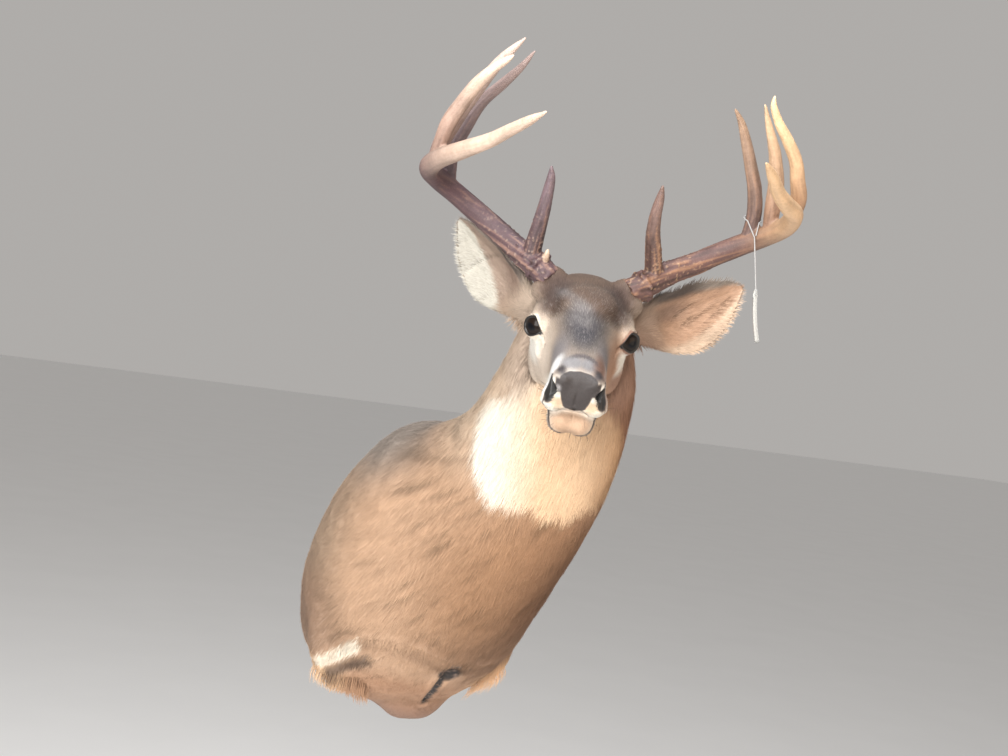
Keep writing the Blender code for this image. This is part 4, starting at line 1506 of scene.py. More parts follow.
    def build(self, markings: Markings) -> bpy.types.Object:
        """Make the skin.

        Args:
            markings: the coat's colours.

        Returns:
            The skin's object.
        """
        shape = bmesh.new()
        shape.from_mesh(self.form())
        for wanted in (self.is_front, self.is_feature):
            self.refine(shape, wanted)
        mesh = to_mesh("hide", shape)
        move_to(mesh, self.carve(places_of(mesh), normals_of(mesh)))
        shape = bmesh.new()
        shape.from_mesh(mesh)
        cut = bmesh.ops.bisect_plane(shape, geom=shape.verts[:] + shape.edges[:] + shape.faces[:],
                                     plane_co=(0, -0.0006, 0), plane_no=(0, 1, 0), clear_outer=True)
        rim = [edge for edge in cut["geom_cut"] if isinstance(edge, bmesh.types.BMEdge)]
        cap = bmesh.ops.holes_fill(shape, edges=rim, sides=0)
        bmesh.ops.triangulate(shape, faces=cap["faces"])
        for ear in EARS:
            loft(shape, ear.rings(2.0, 5, 26, 0.9))
        mesh = to_mesh("hide", shape)
        places, facing = places_of(mesh), normals_of(mesh)
        head = HEAD.to_head(places)
        leather, dark = self.bare(head, facing @ HEAD.axes())
        # painted shade under the coat: the skin takes the coat's colours at 0.8
        colours = markings.lay(places, facing) * 0.8
        tone = (1 - 0.82 * dark)[:, None] * np.array(markings.leather)
        # painted highlight: a pale glint on the rim of the right nostril
        painted_glint = 1 - ease(0.3, 1.1, oval(head, (-20.5, 171, -13), (5.0, 9, 7)))
        tone = tone + painted_glint[:, None] * np.array((0.32, 0.33, 0.34))
        colours = over(colours, tone, leather[:, None])
        # the seam's dark joint, and near-black painted shade inside the tear, with real crumbs of stuffing
        crumbs = ease(0.1, 0.6, ripple(places, 4.0, 3.0))[:, None]
        tone = over(np.array((0.014, 0.01, 0.009)), (0.16, 0.11, 0.085), crumbs)
        colours = over(colours, tone, torn(places, facing)[:, None])
        paint(mesh, "marking", colours)
        mask(mesh, "leather", leather)
        mask(mesh, "pebbled", ease(140, 150, head[:, 1]) * (1 - ease(24, 30, np.abs(head[:, 0]))))
        item = new_piece("hide", mesh, ["trunk", "neck", "head", "foreleg_stub_right",
                                                    "foreleg_stub_left", "ear_right", "ear_left"])
        mesh.materials.append(HideFinish().build())
        return item


# ---------------------------------------------------------------- coat
@dataclass(frozen=True)
class Tufts:
    """Roots of hair with all that shapes them, one row each."""

    root: Array
    way: Array
    facing: Array
    length: Array
    width: Array
    colour: Array

    def picked(self, chosen: Array) -> "Tufts":
        """Return only the chosen rows."""
        return Tufts(self.root[chosen], self.way[chosen], self.facing[chosen], self.length[chosen],
                     self.width[chosen], self.colour[chosen])


class Region(Enum):
    """A part of the coat that is one piece, with the slot of its finish."""

    BACK = ("coat_back", "coat_body")
    SHOULDER_RIGHT = ("coat_shoulder_right", "coat_body")
    SHOULDER_LEFT = ("coat_shoulder_left", "coat_body")
    CHEST = ("coat_chest", "coat_body")
    NECK_RIGHT = ("coat_neck_right", "coat_body")
    NECK_LEFT = ("coat_neck_left", "coat_body")
    THROAT = ("coat_throat", "coat_body")
    CROWN = ("coat_crown", "coat_face")
    FACE_RIGHT = ("coat_face_right", "coat_face")
    FACE_LEFT = ("coat_face_left", "coat_face")
    EAR_RIGHT = ("coat_ear_right", "coat_ear")
    EAR_LEFT = ("coat_ear_left", "coat_ear")


def region_of(mount: Array) -> Array:
    """Return the index of the region that each place of the mount belongs to."""
    head = HEAD.to_head(mount)
    kinds = list(Region)
    on_head = (head[:, 1] > -112) & (head[:, 2] > -104)
    side = mount[:, 0] - np.interp(mount[:, 1], (-340, -190, 0), (80, 40, 0))
    forward = mount[:, 1] < -150 - 0.3 * mount[:, 2]
    region = np.full(len(mount), kinds.index(Region.BACK))
    region[(mount[:, 2] < 160) & (side < 0)] = kinds.index(Region.SHOULDER_RIGHT)
    region[(mount[:, 2] < 160) & (side >= 0)] = kinds.index(Region.SHOULDER_LEFT)
    region[forward & (mount[:, 2] <= 60)] = kinds.index(Region.CHEST)
    neck = (mount[:, 2] > 60) & (mount[:, 1] < -130)
    region[neck & (side < 0)] = kinds.index(Region.NECK_RIGHT)
    region[neck & (side >= 0)] = kinds.index(Region.NECK_LEFT)
    region[neck & (MARKINGS.throat(mount) > 0.5)] = kinds.index(Region.THROAT)
    region[on_head] = kinds.index(Region.CROWN)
    front = on_head & (head[:, 1] > -20)
    region[front & (head[:, 0] < 0)] = kinds.index(Region.FACE_RIGHT)
    region[front & (head[:, 0] >= 0)] = kinds.index(Region.FACE_LEFT)
    for ear, kind in zip(EARS, (Region.EAR_RIGHT, Region.EAR_LEFT)):
        along, _, _ = ear.measure(head, head)
        region[(ear.belongs(head) > 0) & (along > 0.14)] = kinds.index(kind)
    return region


@dataclass(frozen=True)
class Skin:
    """The hide's surface in triangles, for hair to grow out of and to lie on."""

    places: Array
    normals: Array
    corners: Array
    tree: BVHTree
    reach: float = 6.0

    @classmethod
    def of(cls, mesh: bpy.types.Mesh) -> "Skin":
        """Return a mesh's surface."""
        mesh.calc_loop_triangles()
        corners = np.empty(len(mesh.loop_triangles) * 3, dtype=np.int32)
        mesh.loop_triangles.foreach_get("vertices", corners)
        corners = corners.reshape(-1, 3)
        places = places_of(mesh)
        tree = BVHTree.FromPolygons(places.tolist(), corners.tolist())
        return cls(places, normals_of(mesh), corners, tree)

    def scatter(self, density: Rule, rng: np.random.Generator) -> tuple[Array, Array]:
        """Spread roots over the surface.

        Args:
            density: how many grow on a square millimetre.
            rng: where the random draws come from.

        Returns:
            The roots and the normals there.
        """
        a, b, c = (self.places[self.corners[:, i]] for i in range(3))
        middle, normal = (a + b + c) / 3, np.cross(b - a, c - a)
        area = np.linalg.norm(normal, axis=1) / 2
        weight = area * density(middle, HEAD.to_head(middle), unit(normal) @ HEAD.axes())
        total = weight.cumsum()
        count = int(total[-1])
        hit = np.searchsorted(total, (np.arange(count) + rng.random(count)) * total[-1] / count)
        chosen = self.corners[np.minimum(hit, len(self.corners) - 1)]
        s, t = rng.random(count), rng.random(count)
        flip = s + t > 1
        s[flip], t[flip] = 1 - s[flip], 1 - t[flip]
        share = np.stack((1 - s - t, s, t), axis=1)[:, :, None]
        return (self.places[chosen] * share).sum(1), unit((self.normals[chosen] * share).sum(1))

    def settle(self, facing: Array, tips: Array, height: Array) -> Array:
        """Return tips moved so that each stands at its height over the skin.

        Args:
            facing: the normals at the tufts' roots.
            tips: the tufts' tips.
            height: how high each tip is to stand.
        """
        near, normal = tips.copy(), facing.copy()
        for index, tip in enumerate(tips.tolist()):
            near[index], normal[index], _, _ = self.tree.find_nearest(tip)
        same = (normal * facing).sum(1) > 0.1
        gap = ((tips - near) * normal).sum(1)
        return tips + normal * (np.clip(height - gap, -self.reach, self.reach) * same)[:, None]


SWEEP = (np.array((0.78, 0.2, -0.6)), np.array((0.5, 0.25, 0.83)))


@dataclass(frozen=True)
class Growth:
    """One layer of hair: where it grows, how long and thick it is and how it stands."""

    name: str
    seed: int
    density: Rule
    length: Rule
    width: float
    lift: float
    joints: int = 1
    droop: float = 0.0
    shade: float = 1.0
    tint: Triple | None = None
    settled: bool = False


def is_on_head(head: Array) -> Array:
    """Return how far places are on the head, from 0 on the neck to 1."""
    border = np.interp(head[:, 2], (-90, -60, -40, 0, 60), (-48, -54, -66, -98, -112))
    return ease(-16, 16, head[:, 1] - border) * ease(-118, -88, head[:, 2])


def ear_share(head: Array) -> Array:
    """Return how far places are on an ear's leaf, from 0 to 1."""
    share = np.zeros(len(head))
    for ear in EARS:
        along, _, _ = ear.measure(head, head)
        share = np.maximum(share, ear.belongs(head) * ease(0.12, 0.3, along))
    return share


def ear_edges(head: Array, facing: Array) -> Array:
    """Return how near places are to the front edges inside an ear, from 0 to 1."""
    share = np.zeros(len(head))
    for ear in EARS:
        along, across, inside = ear.measure(head, facing)
        here = ear.belongs(head) * ease(0.1, 0.2, along) * (1 - ease(0.8, 1.0, along))
        rim = 0.35 + 0.65 * ease(0.4, 0.9, np.abs(across))
        share = np.maximum(share, here * ease(-0.2, 0.2, inside) * rim)
    return share


def eye_gap(head: Array) -> Array:
    """Return how far places are outside the lids' edges, in degrees."""
    gap = np.full(len(head), 90.0)
    for side in Side:
        reach, outside, _, _ = SOCKET.measure(side, head)
        gap = np.minimum(gap, np.where(reach < 30, outside, 90.0))
    return gap


def on_belly(mount: Array) -> Array:
    """Return how far places are below the chest's ragged edge, from 0 to 1."""
    return ease(0, 14, fringe_height(mount) - mount[:, 2]) * ease(-20, -60, mount[:, 1])


def torn(mount: Array, facing: Array) -> Array:
    """Return how far places are in the bald, torn seam of the belly, from 0 to 1."""
    gap, _ = to_line(mount, SEAM, facing)
    seam = ease(1.8, 4.0, gap + 1.5 * ripple(mount, 5.0))
    hole = ease(0.8, 1.1, oval(mount, TEAR, TEAR_RADII) + 0.15 * ripple(mount, 6.0))
    return np.maximum(1 - seam, 1 - hole)


def coat_length(mount: Array, head: Array, facing: Array) -> Array:
    """Return the coat's own length at places, in millimetres."""
    body = 21.0 + 4.0 * ease(-80, -280, mount[:, 1]) - 6.0 * ease(-80, -150, mount[:, 2])
    body = body + 6.0 * ease(150, 215, mount[:, 2]) * ease(-150, -40, mount[:, 1])
    body = body - 6.0 * on_belly(mount)
    body = body - 9.0 * (1 - ease(1.0, 2.2, oval(mount, TEAR, TEAR_RADII)))
    body = body + 3.0 * MARKINGS.throat(mount)
    face = 14.0 - 6.0 * ease(-50, 30, head[:, 1]) - 3.6 * ease(60, 150, head[:, 1])
    face = face - 3.0 * ease(34, 55, head[:, 2]) * (1 - ease(-10, 50, head[:, 1]))
    burr = burr_gap(head)
    face = np.where(burr < 60, np.minimum(face, 4.5 + 0.13 * burr), face)
    eye = eye_gap(head)
    face = np.where(eye < 60, np.minimum(face, 2.4 + 0.07 * eye), face)
    share = is_on_head(head)
    length = body * (1 - share) + face * share
    ear = ear_share(head)
    return length * (1 - ear) + 7.0 * ear


def coat_density(mount: Array, head: Array, facing: Array) -> Array:
    """Return how many tufts of the coat grow on a square millimetre."""
    share = is_on_head(head)
    face = 0.6 + 0.55 * ease(-60, 40, head[:, 1]) + 0.6 * ease(60, 150, head[:, 1])
    body = 0.31 + 0.06 * ease(60, 200, mount[:, 2]) * ease(-100, -200, mount[:, 1])
    face = face + 0.5 * (1 - ease(30, 60, burr_gap(head))) + 0.25 * ease(30, 40, head[:, 2])
    ear = ear_share(head)
    return (body * (1 - share) + face * share) * (1 - 0.2 * ear) + 0.25 * ear


def above_fringe(mount: Array, head: Array, facing: Array) -> Array:
    """Return how many locks grow on a square millimetre along the chest's ragged lower edge."""
    gap, _ = to_line(mount, FRINGE, facing)
    above = mount[:, 2] - fringe_height(mount)
    return 0.06 * (gap < 18) * (above > -3) * (above < 12) * ease(-0.2, 0.5, ripple(mount, 14.0, 9.0))


def wisps(mount: Array, head: Array, facing: Array) -> Array:
    """Return how many pale wisps grow on a square millimetre, low on the belly and the stubs."""
    belly = oval(mount, (-88, -112, -150), (22, 30, 26)) < 1
    left = oval(mount, (106, -130, -122), (34, 50, 26)) < 1
    right = oval(mount, (-116, -90, -140), (34, 44, 22)) < 1
    return 0.1 * belly + 0.07 * left + 0.07 * right


def loose_locks(mount: Array, head: Array, facing: Array) -> Array:
    """Return how many longer locks grow on a square millimetre of neck, throat and chest."""
    body = 1 - is_on_head(head)
    clump = ease(0.05, 0.5, ripple(mount, 20.0, 3.0)) * ease(-150, -240, mount[:, 1])
    return body * (0.0005 + 0.009 * clump) * (1 - 0.6 * MARKINGS.throat(mount))


def lash_density(mount: Array, head: Array, facing: Array) -> Array:
    """Return how many lashes grow on a square millimetre of the upper lids."""
    total = np.zeros(len(head))
    for side in Side:
        reach, outside, level, up = SOCKET.measure(side, head)
        total += 0.9 * (reach < 24) * (outside > 1) * (outside < 6) * (up > 14) * (np.abs(level) < 30)
    return total


def whisker_density(mount: Array, head: Array, facing: Array) -> Array:
    """Return how many whiskers grow on a square millimetre of muzzle and chin."""
    x, y, z = head.T
    muzzle, chin = (y > 118) & (y < 170) & (z < -22) & (np.abs(x) > 12), (y > 125) & (z < -50)
    return 0.008 * muzzle + 0.004 * chin


def ear_hair(mount: Array, head: Array, facing: Array) -> Array:
    """Return how many long hairs grow on a square millimetre inside the ears."""
    return 0.34 * ear_edges(head, facing)


def long_coat(mount: Array, head: Array, facing: Array) -> Array:
    """Return the length of locks that stand out of the coat, in millimetres."""
    return coat_length(mount, head, facing) * 1.2


def fixed(value: float) -> Rule:
    """Return a growth rule that gives the same value everywhere."""
    return lambda mount, head, facing: np.full(len(mount), value)


@dataclass
class Coat:
    """The hair over the hide, in tufts that follow the lie of the coat."""

    layers: tuple[Growth, ...] = (
        Growth("undercoat", 11, coat_density, coat_length, 1.25, 5.0, settled=True),
        Growth("locks", 12, loose_locks, long_coat, 1.1, 6.5, 2, shade=0.95, settled=True),
        Growth("fringe", 13, above_fringe, fixed(21.0), 1.1, 6.0, 2, 0.5, 0.95, settled=True),
        Growth("wisps", 14, wisps, fixed(27.0), 1.0, 20.0, 2, 0.9, 1.3),
        Growth("ear_hair", 15, ear_hair, fixed(10.5), 0.8, 13.0, 2),
        Growth("lashes", 16, lash_density, fixed(4.2), 0.38, 34.0, 2, tint=(0.02, 0.015, 0.012)),
        Growth("whiskers", 17, whisker_density, fixed(14.0), 0.28, 42.0, 2, tint=(0.09, 0.075, 0.065)),
    )
    patch: float = 0.003
    round: float = 0.6
    bald_leather: float = 0.35
    bald_burr: float = 16.0
    least_height: float = 0.35
    root_shade: float = 0.58
    shade_rise: float = 0.26
    tip_shade: float = 0.82

    @staticmethod
    def spine() -> Array:
        """Return the line that the coat is laid out round: from the wall up the neck to the nose."""
        rows = HIDE.body
        body = [(side, (top[0] + low[0]) / 2, (top[1] + low[1]) / 2) for top, low, side, *_ in rows]
        skull = [(0.0, row[0], (row[2] + row[3]) / 2) for row in HIDE.skull[3:]]
        return np.array(body[:-1] + list(HEAD.to_mount(np.array(skull))))

    def lie(self, mount: Array, facing: Array) -> Array:
        """Return the way the hair lies at places of the skin.

        Args:
            mount: the places.
            facing: the normals there.

        Returns:
            One unit vector per place, along the skin.
        """
        head = HEAD.to_head(mount)
        spine = self.spine()[:10]
        _, where = to_line(mount, spine)
        last = len(spine) - 1
        along = along_rows(where * last, np.arange(last) + 0.5, -np.diff(spine, axis=0))
        high = ease(60, 240, mount[:, 2])[:, None]
        body = unit(along) + np.array((0.0, 0.0, -0.55)) + np.array((0.0, 0.25, -0.5)) * high
        x, y, z = head.T
        outward, upward = 0.15 * np.sign(x) * ease(30, -30, z), 0.15 - 0.55 * ease(20, -60, z)
        face = np.column_stack((outward, -1.0 + 0 * x, upward))
        front = ease(150, 172, y)[:, None]
        face = face + front * np.column_stack((x / 24, -0.4 + 0 * x, (z + 12) / 30))
        face = face @ HEAD.axes().T
        share = is_on_head(head)
        way = unit(body) * (1 - share)[:, None] + unit(face) * share[:, None]
        for ear in EARS:
            axis, across, _, _ = ear.axes()
            along_ear, u, inside = ear.measure(head, facing @ HEAD.axes())
            weight = (ear.belongs(head) * ease(0.05, 0.22, along_ear))[:, None]
            spread = np.clip(u, -1, 1) * np.where(inside > 0, 0.9, 0.3)
            leaf = (axis + spread[:, None] * across) @ HEAD.axes().T
            way = way * (1 - weight) + leaf * weight
        way = way - (way * facing).sum(1, keepdims=True) * facing
        return unit(way)

    def grow(self, layer: Growth, skin: Skin) -> Tufts:
        """Return one layer's tufts.

        Args:
            layer: how it grows.
            skin: the hide's surface.
        """
        rng = np.random.default_rng(layer.seed)
        root, facing = skin.scatter(layer.density, rng)
        head, count = HEAD.to_head(root), len(root)
        lashes = layer.name == "lashes"
        bare = (Hide.bare(head, facing @ HEAD.axes())[0] > self.bald_leather) & (not lashes)
        bare |= (root[:, 1] > -2.0) & (facing[:, 1] > 0.4)
        bare |= torn(root, facing) > rng.uniform(0.3, 1.0, count)
        bare |= eye_gap(head) < (0.5 if lashes else 5.0)
        bare |= burr_gap(head) < self.bald_burr
        keep = ~bare
        root, facing, head = root[keep], facing[keep], head[keep]
        count = len(root)
        way = self.lie(root, facing)
        if layer.droop:
            way = way + np.array((0, 0, -layer.droop * 2.0))
            way = unit(way - (way * facing).sum(1, keepdims=True) * facing * 0.8)
        calm = 0.45 + 0.55 * (1 - is_on_head(head))
        swirl = 8.0 * ripple(root, 34.0) + 5.0 * ripple(root, 10.0, 7.0) + rng.normal(0, 5.0, count)
        swirl = np.radians(swirl) * calm
        across = np.cross(facing, way)
        way = way * np.cos(swirl)[:, None] + across * np.sin(swirl)[:, None]
        lift = layer.lift + 2.5 * is_on_head(head) + rng.normal(0, 1.6, count)
        lift = np.radians(np.clip(lift, 3.0, 60.0))
        if lashes:
            way = np.zeros((count, 3))
            for side in Side:
                look, _, rise = SOCKET.axes(side)
                mine = head[:, 0] * side.value > 0
                way[mine] = (rise * 0.8 + look * 0.6 + (side.value * 0.2, 0, 0)) @ HEAD.axes().T
            way = unit(way - (way * facing).sum(1, keepdims=True) * facing)
        way = way * np.cos(lift)[:, None] + facing * np.sin(lift)[:, None]
        length = layer.length(root, head, facing @ HEAD.axes()) * rng.uniform(0.75, 1.2, count)
        thin = np.clip(length / 18.0, 0.5, 1.0) if layer.name == "undercoat" else 1.0
        width = layer.width * thin * rng.uniform(0.7, 1.25, count)
        colour = MARKINGS.lay(root, facing)
        grizzled = ease(5, 30, head[:, 2]) * ease(-100, -60, head[:, 1]) * is_on_head(head)
        along, down = root @ SWEEP[0] / 5.0, root @ SWEEP[1] / 42.0
        streak = ripple(np.column_stack((along, down, 0.02 * root[:, 2])), 1.0, 5.0)
        tone = rng.normal(0.0, 1.0, count) * (0.05 + 0.15 * grizzled) + 0.05 * ripple(root, 13.0, 11.0)
        # on the chest's front: painted shade in dark partings between locks, and painted light on their
        # edges
        front = ease(-60, -200, root[:, 1]) * (1 - 0.8 * MARKINGS.throat(root)) * (1 - is_on_head(head))
        tone = tone + (0.12 * ease(-0.2, -0.8, streak) - 0.5 * ease(0.25, 0.95, streak)) * front
        tone = np.exp(tone) * layer.shade
        frost = (grizzled * ease(-45, 15, head[:, 1]) * (rng.random(count) < 0.12) * 0.4)[:, None]
        colour = over(colour, (0.5, 0.46, 0.43), frost)
        if layer.tint is not None:
            colour = np.array(layer.tint) * np.ones((count, 1))
        if layer.settled:
            height = np.maximum(self.least_height, length * np.sin(lift))
            reach = skin.settle(facing, root + way * length[:, None], height) - root
            length = np.linalg.norm(reach, axis=1)
            way = reach / length[:, None]
        sunk = np.minimum(0.5, 0.04 * length)[:, None]
        return Tufts(root - facing * sunk, way, facing, length, width, colour * tone[:, None])

    def unwrap(self, region: Region, mount: Array, facing: Array) -> Array:
        """Return where places lie on the skin laid out flat, filling a unit square.

        Args:
            region: the part of the coat.
            mount: the places.
            facing: the normals there.
        """
        head = HEAD.to_head(mount)
        if region in (Region.EAR_RIGHT, Region.EAR_LEFT):
            ear = EARS[0] if region is Region.EAR_RIGHT else EARS[1]
            along, across, inside = ear.measure(head, facing @ HEAD.axes())
            flat = np.column_stack((np.clip(across, -1.1, 1.1) + np.where(inside > 0, 2.3, 0.0), along))
        else:
            line = self.spine()
            _, where = to_line(mount, line)
            place = where * (len(line) - 1)
            ticks = np.arange(len(line) - 1) + 0.5
            way = unit(along_rows(place, ticks, np.diff(line, axis=0)))
            centre = along_rows(place, np.arange(len(line)), line)
            level = unit(np.cross(way, np.array((0.0, 0.0, 1.0)) + 0 * way))
            up = np.cross(level, way)
            gap = mount - centre
            over_top = 1.0 if region in (Region.BACK, Region.CROWN) else -1.0
            angle = np.arctan2((gap * level).sum(1), over_top * (gap * up).sum(1))
            flat = np.column_stack((angle, where))
        low, high = flat.min(0), flat.max(0)
        return 0.004 + 0.988 * (flat - low) / np.maximum(high - low, 1e-6)

    def weave(self, tufts: Tufts, joints: int, flat: Array) -> tuple[Array, Array, Array, Array, Array]:
        """Turn tufts into closed pointed blades.

        Args:
            tufts: the tufts.
            joints: lengths each blade is made of; with two it bends to lie down.
            flat: each root's place on the flat skin.

        Returns:
            Points, triangles, the points' colours, and the corners' flat places and soft normals.
        """
        count = len(tufts.root)
        side = unit(np.cross(tufts.way, tufts.facing))
        high = unit(np.cross(side, tufts.way))
        w, length = tufts.width[:, None] / 2, tufts.length[:, None]
        rings, shades, spots, lean = [], [], [], []
        profile = ((0.0, 1.0, 0.0),) if joints == 1 else ((0.0, 0.8, 0.0), (0.5, 1.0, 0.04))
        for along, size, bow in profile:
            centre = tufts.root + tufts.way * length * along + high * length * bow
            rings += [centre + side * w * size, centre - side * w * size, centre + high * w * size * 0.4]
            shades += [self.root_shade + self.shade_rise * along] * 3
            lean += [self.round, -self.round, 0.0]
            spots += [(-0.5, along), (0.5, along), (0.0, along + 0.15)]
        tip = tufts.root + tufts.way * length - (high * length * 0.09 if joints == 2 else 0.0)
        rings.append(tip)
        lean.append(0.0)
        shades.append(self.tip_shade)
        spots.append((0.0, 1.0))
        block = len(rings)
        places = np.stack(rings, axis=1).reshape(-1, 3)
        places[:, 1] = np.minimum(places[:, 1], -0.5)
        faces, looks = [(0, 1, 2)], [1.0]
        for ring in range(len(profile) - 1):
            o = ring * 3
            for i, j, look in ((0, 2, 1.0), (2, 1, 1.0), (1, 0, -1.0)):
                faces += [(o + i, o + j, o + 3 + j), (o + i, o + 3 + j, o + 3 + i)]
                looks += [look, look]
        o = (len(profile) - 1) * 3
        faces += [(o, o + 2, o + 3), (o + 2, o + 1, o + 3), (o + 1, o, o + 3)]
        looks += [1.0, 1.0, -1.0]
        faces = np.array(faces)[:, ::-1]
        triangles = (np.arange(count)[:, None, None] * block + faces[None]).reshape(-1, 3)
        colours = (tufts.colour[:, None, :] * np.array(shades)[None, :, None]).reshape(-1, 3)
        offsets = (np.array(spots) * self.patch)[faces.ravel()]
        corners = (flat[:, None, :] + offsets[None]).reshape(-1, 2)
        leans = np.array(lean)[faces.ravel()][None, :, None]
        outward = tufts.facing[:, None, :] * np.repeat(looks, 3)[None, :, None]
        soft = unit(outward + side[:, None, :] * leans + 0.12 * tufts.way[:, None, :])
        return places, triangles, colours, corners, soft.reshape(-1, 3)

    def piece(
        self, region: Region, parts: list[tuple[Tufts, int]], material: bpy.types.Material
    ) -> None:
        """Make one region's coat.

        Args:
            region: the region.
            parts: its tufts of each layer, with how many lengths their blades have.
            material: its finish.
        """
        name, slot = region.value
        roots = np.concatenate([tufts.root for tufts, _ in parts])
        facing = np.concatenate([tufts.facing for tufts, _ in parts])
        flat = self.unwrap(region, roots, facing)
        woven, first, base = [], 0, 0
        for tufts, joints in parts:
            last = first + len(tufts.root)
            places, triangles, colours, corners, soft = self.weave(tufts, joints, flat[first:last])
            woven.append((places, triangles + base, colours, corners, soft))
            first = last
            base += len(places)
        places, triangles, colours, corners, soft = (np.concatenate(rows) for rows in zip(*woven))
        mesh = bpy.data.meshes.new(name)
        mesh.vertices.add(len(places))
        mesh.vertices.foreach_set("co", (places * MM).ravel())
        mesh.loops.add(triangles.size)
        mesh.loops.foreach_set("vertex_index", triangles.ravel().astype(np.int32))
        mesh.polygons.add(len(triangles))
        mesh.polygons.foreach_set("loop_start", np.arange(0, triangles.size, 3, dtype=np.int32))
        mesh.update(calc_edges=True)
        layer = mesh.uv_layers.new(name="OFBake")
        layer.data.foreach_set("uv", corners.ravel())
        paint(mesh, "marking", colours)
        mesh.materials.append(material)
        mesh.shade_smooth()
        mesh.normals_split_custom_set(soft.tolist())
        new_piece(name, mesh)

    def build(self, mesh: bpy.types.Mesh) -> None:
        """Grow the coat over the skin.

        Args:
            mesh: the skin.
        """
        by_region: dict[Region, list[tuple[Tufts, int]]] = {region: [] for region in Region}
        skin = Skin.of(mesh)
        for layer in self.layers:
            tufts = self.grow(layer, skin)
            LOG.info("%s: %d tufts", layer.name, len(tufts.root))
            kinds = region_of(tufts.root)
            for index, region in enumerate(Region):
                chosen = kinds == index
                if chosen.any():
                    by_region[region].append((tufts.picked(chosen), layer.joints))
        slots = ("coat_body", "coat_face", "coat_ear")
        finishes = {slot: CoatFinish(slot + "_hair").build() for slot in slots}
        for region, parts in by_region.items():
            self.piece(region, parts, finishes[region.value[1]])


# ---------------------------------------------------------------- eyes
@dataclass(frozen=True)
class Eyes:
    """The glass eyes."""

    iris: Triple = (0.012, 0.007, 0.005)
    pupil: Triple = (0.004, 0.004, 0.006)
    rim: Triple = (0.02, 0.014, 0.01)

    def build(self) -> None:
        """Make both eyes."""
        material = EyeFinish().build()
        for side in Side:
            out, forward, up = SOCKET.seat
            shape = bmesh.new()
            ball(shape, (side.value * out, forward, up), (SOCKET.radius,) * 3, Space.HEAD, 72)
            mesh = to_mesh("eye", shape)
            _, _, level, rise = SOCKET.measure(side, HEAD.to_head(places_of(mesh)))
            slot = np.sqrt((level / 25.0) ** 2 + (rise / 15.0) ** 2)
            disc = np.sqrt(level ** 2 + rise ** 2)
            colour = over(np.array(self.iris), self.pupil, (1 - ease(0.9, 1.1, slot))[:, None])
            paint(mesh, "marking", over(colour, self.rim, ease(36, 46, disc)[:, None]))
            mesh.materials.append(material)
            new_piece("glass_eye_" + side.word, mesh, ["eye_" + side.word])


# ---------------------------------------------------------------- antlers
ANTLERS = {
    Side.RIGHT: {
        "beam": (
            (50, -56, 52, 17), (66, -62, 64, 17), (93, -80, 77, 15.5), (125, -98, 94, 14.5),
            (153, -106, 110, 14), (181, -104, 128, 13.5), (205, -86, 146, 13.5), (217, -52, 164, 13),
            (204, -18, 182, 12), (173, 22, 203, 10.5), (143, 60, 223, 8.5), (119, 94, 243, 7),
            (101, 118, 258, 5.5), (84, 138, 272, 1.5),
        ),
        "brow_tine": ((78, -68, 66, 12), (75, -63, 100, 10.5), (72, -55, 129, 9), (70, -49, 156, 7.5),
                      (69, -45, 178, 5.5), (71, -41, 194, 1.5)),
        "tine_2": ((194, -97, 139, 8), (197, -96, 180, 10), (183, -91, 220, 9), (168, -86, 250, 7.5),
                   (146, -76, 276, 6.5), (126, -64, 301, 4.5), (113, -54, 322, 1.5)),
        "tine_3": ((216, -60, 159, 8), (207, -58, 198, 10.5), (190, -50, 236, 9.5), (173, -43, 268, 8.5),
                   (152, -33, 303, 6.5), (137, -26, 322, 4.5), (125, -20, 336, 1.5)),
        "tine_4": ((210, -30, 176, 8), (199, -8, 222, 10), (184, 4, 254, 9), (170, 13, 278, 8),
                   (154, 22, 298, 6), (142, 29, 309, 4.5), (132, 34, 318, 1.5)),
        "sticker": ((62, -56, 66, 5.5), (59, -52, 78, 4.6), (58, -50, 86, 3.4), (58, -49, 92, 1.2)),
    },
    Side.LEFT: {
        "beam": (
            (50, -56, 52, 17), (66, -64, 62, 17), (98, -86, 80, 15.5), (126, -100, 93, 14.5),
            (154, -106, 110, 14), (182, -104, 128, 13.5), (206, -92, 145, 13), (224, -66, 165, 12.5),
            (224, -32, 186, 11.5), (208, 0, 200, 10), (191, 32, 215, 8.5), (177, 62, 233, 7),
            (168, 80, 244, 5), (159, 96, 254, 1.5),
        ),
        "brow_tine": ((80, -74, 70, 12), (72, -67, 103, 10.5), (66, -57, 130, 9), (64, -50, 154, 7.5),
                      (65, -45, 176, 5.5), (65, -40, 193, 1.5)),
        "tine_2": ((186, -103, 131, 8), (188, -99, 168, 9.5), (181, -95, 200, 9), (170, -89, 227, 8),
                   (156, -81, 258, 6.5), (145, -73, 279, 4.5), (133, -64, 294, 1.5)),
        "tine_3": ((209, -89, 148, 8), (206, -83, 184, 10), (203, -77, 212, 10), (194, -70, 244, 8),
                   (186, -64, 262, 6.5), (176, -58, 282, 4.5), (165, -50, 306, 1.5)),
        "tine_4": ((225, -58, 170, 8), (228, -46, 200, 10), (220, -36, 226, 9), (212, -29, 248, 8),
                   (196, -20, 271, 7), (180, -11, 290, 5.5), (169, -4, 308, 4), (167, 0, 320, 1.5)),
    },
}


@dataclass(frozen=True)
class Tone:
    """An antler member's colour at its foot and at its tip."""

    foot: Triple
    tip: Triple
    rough: float


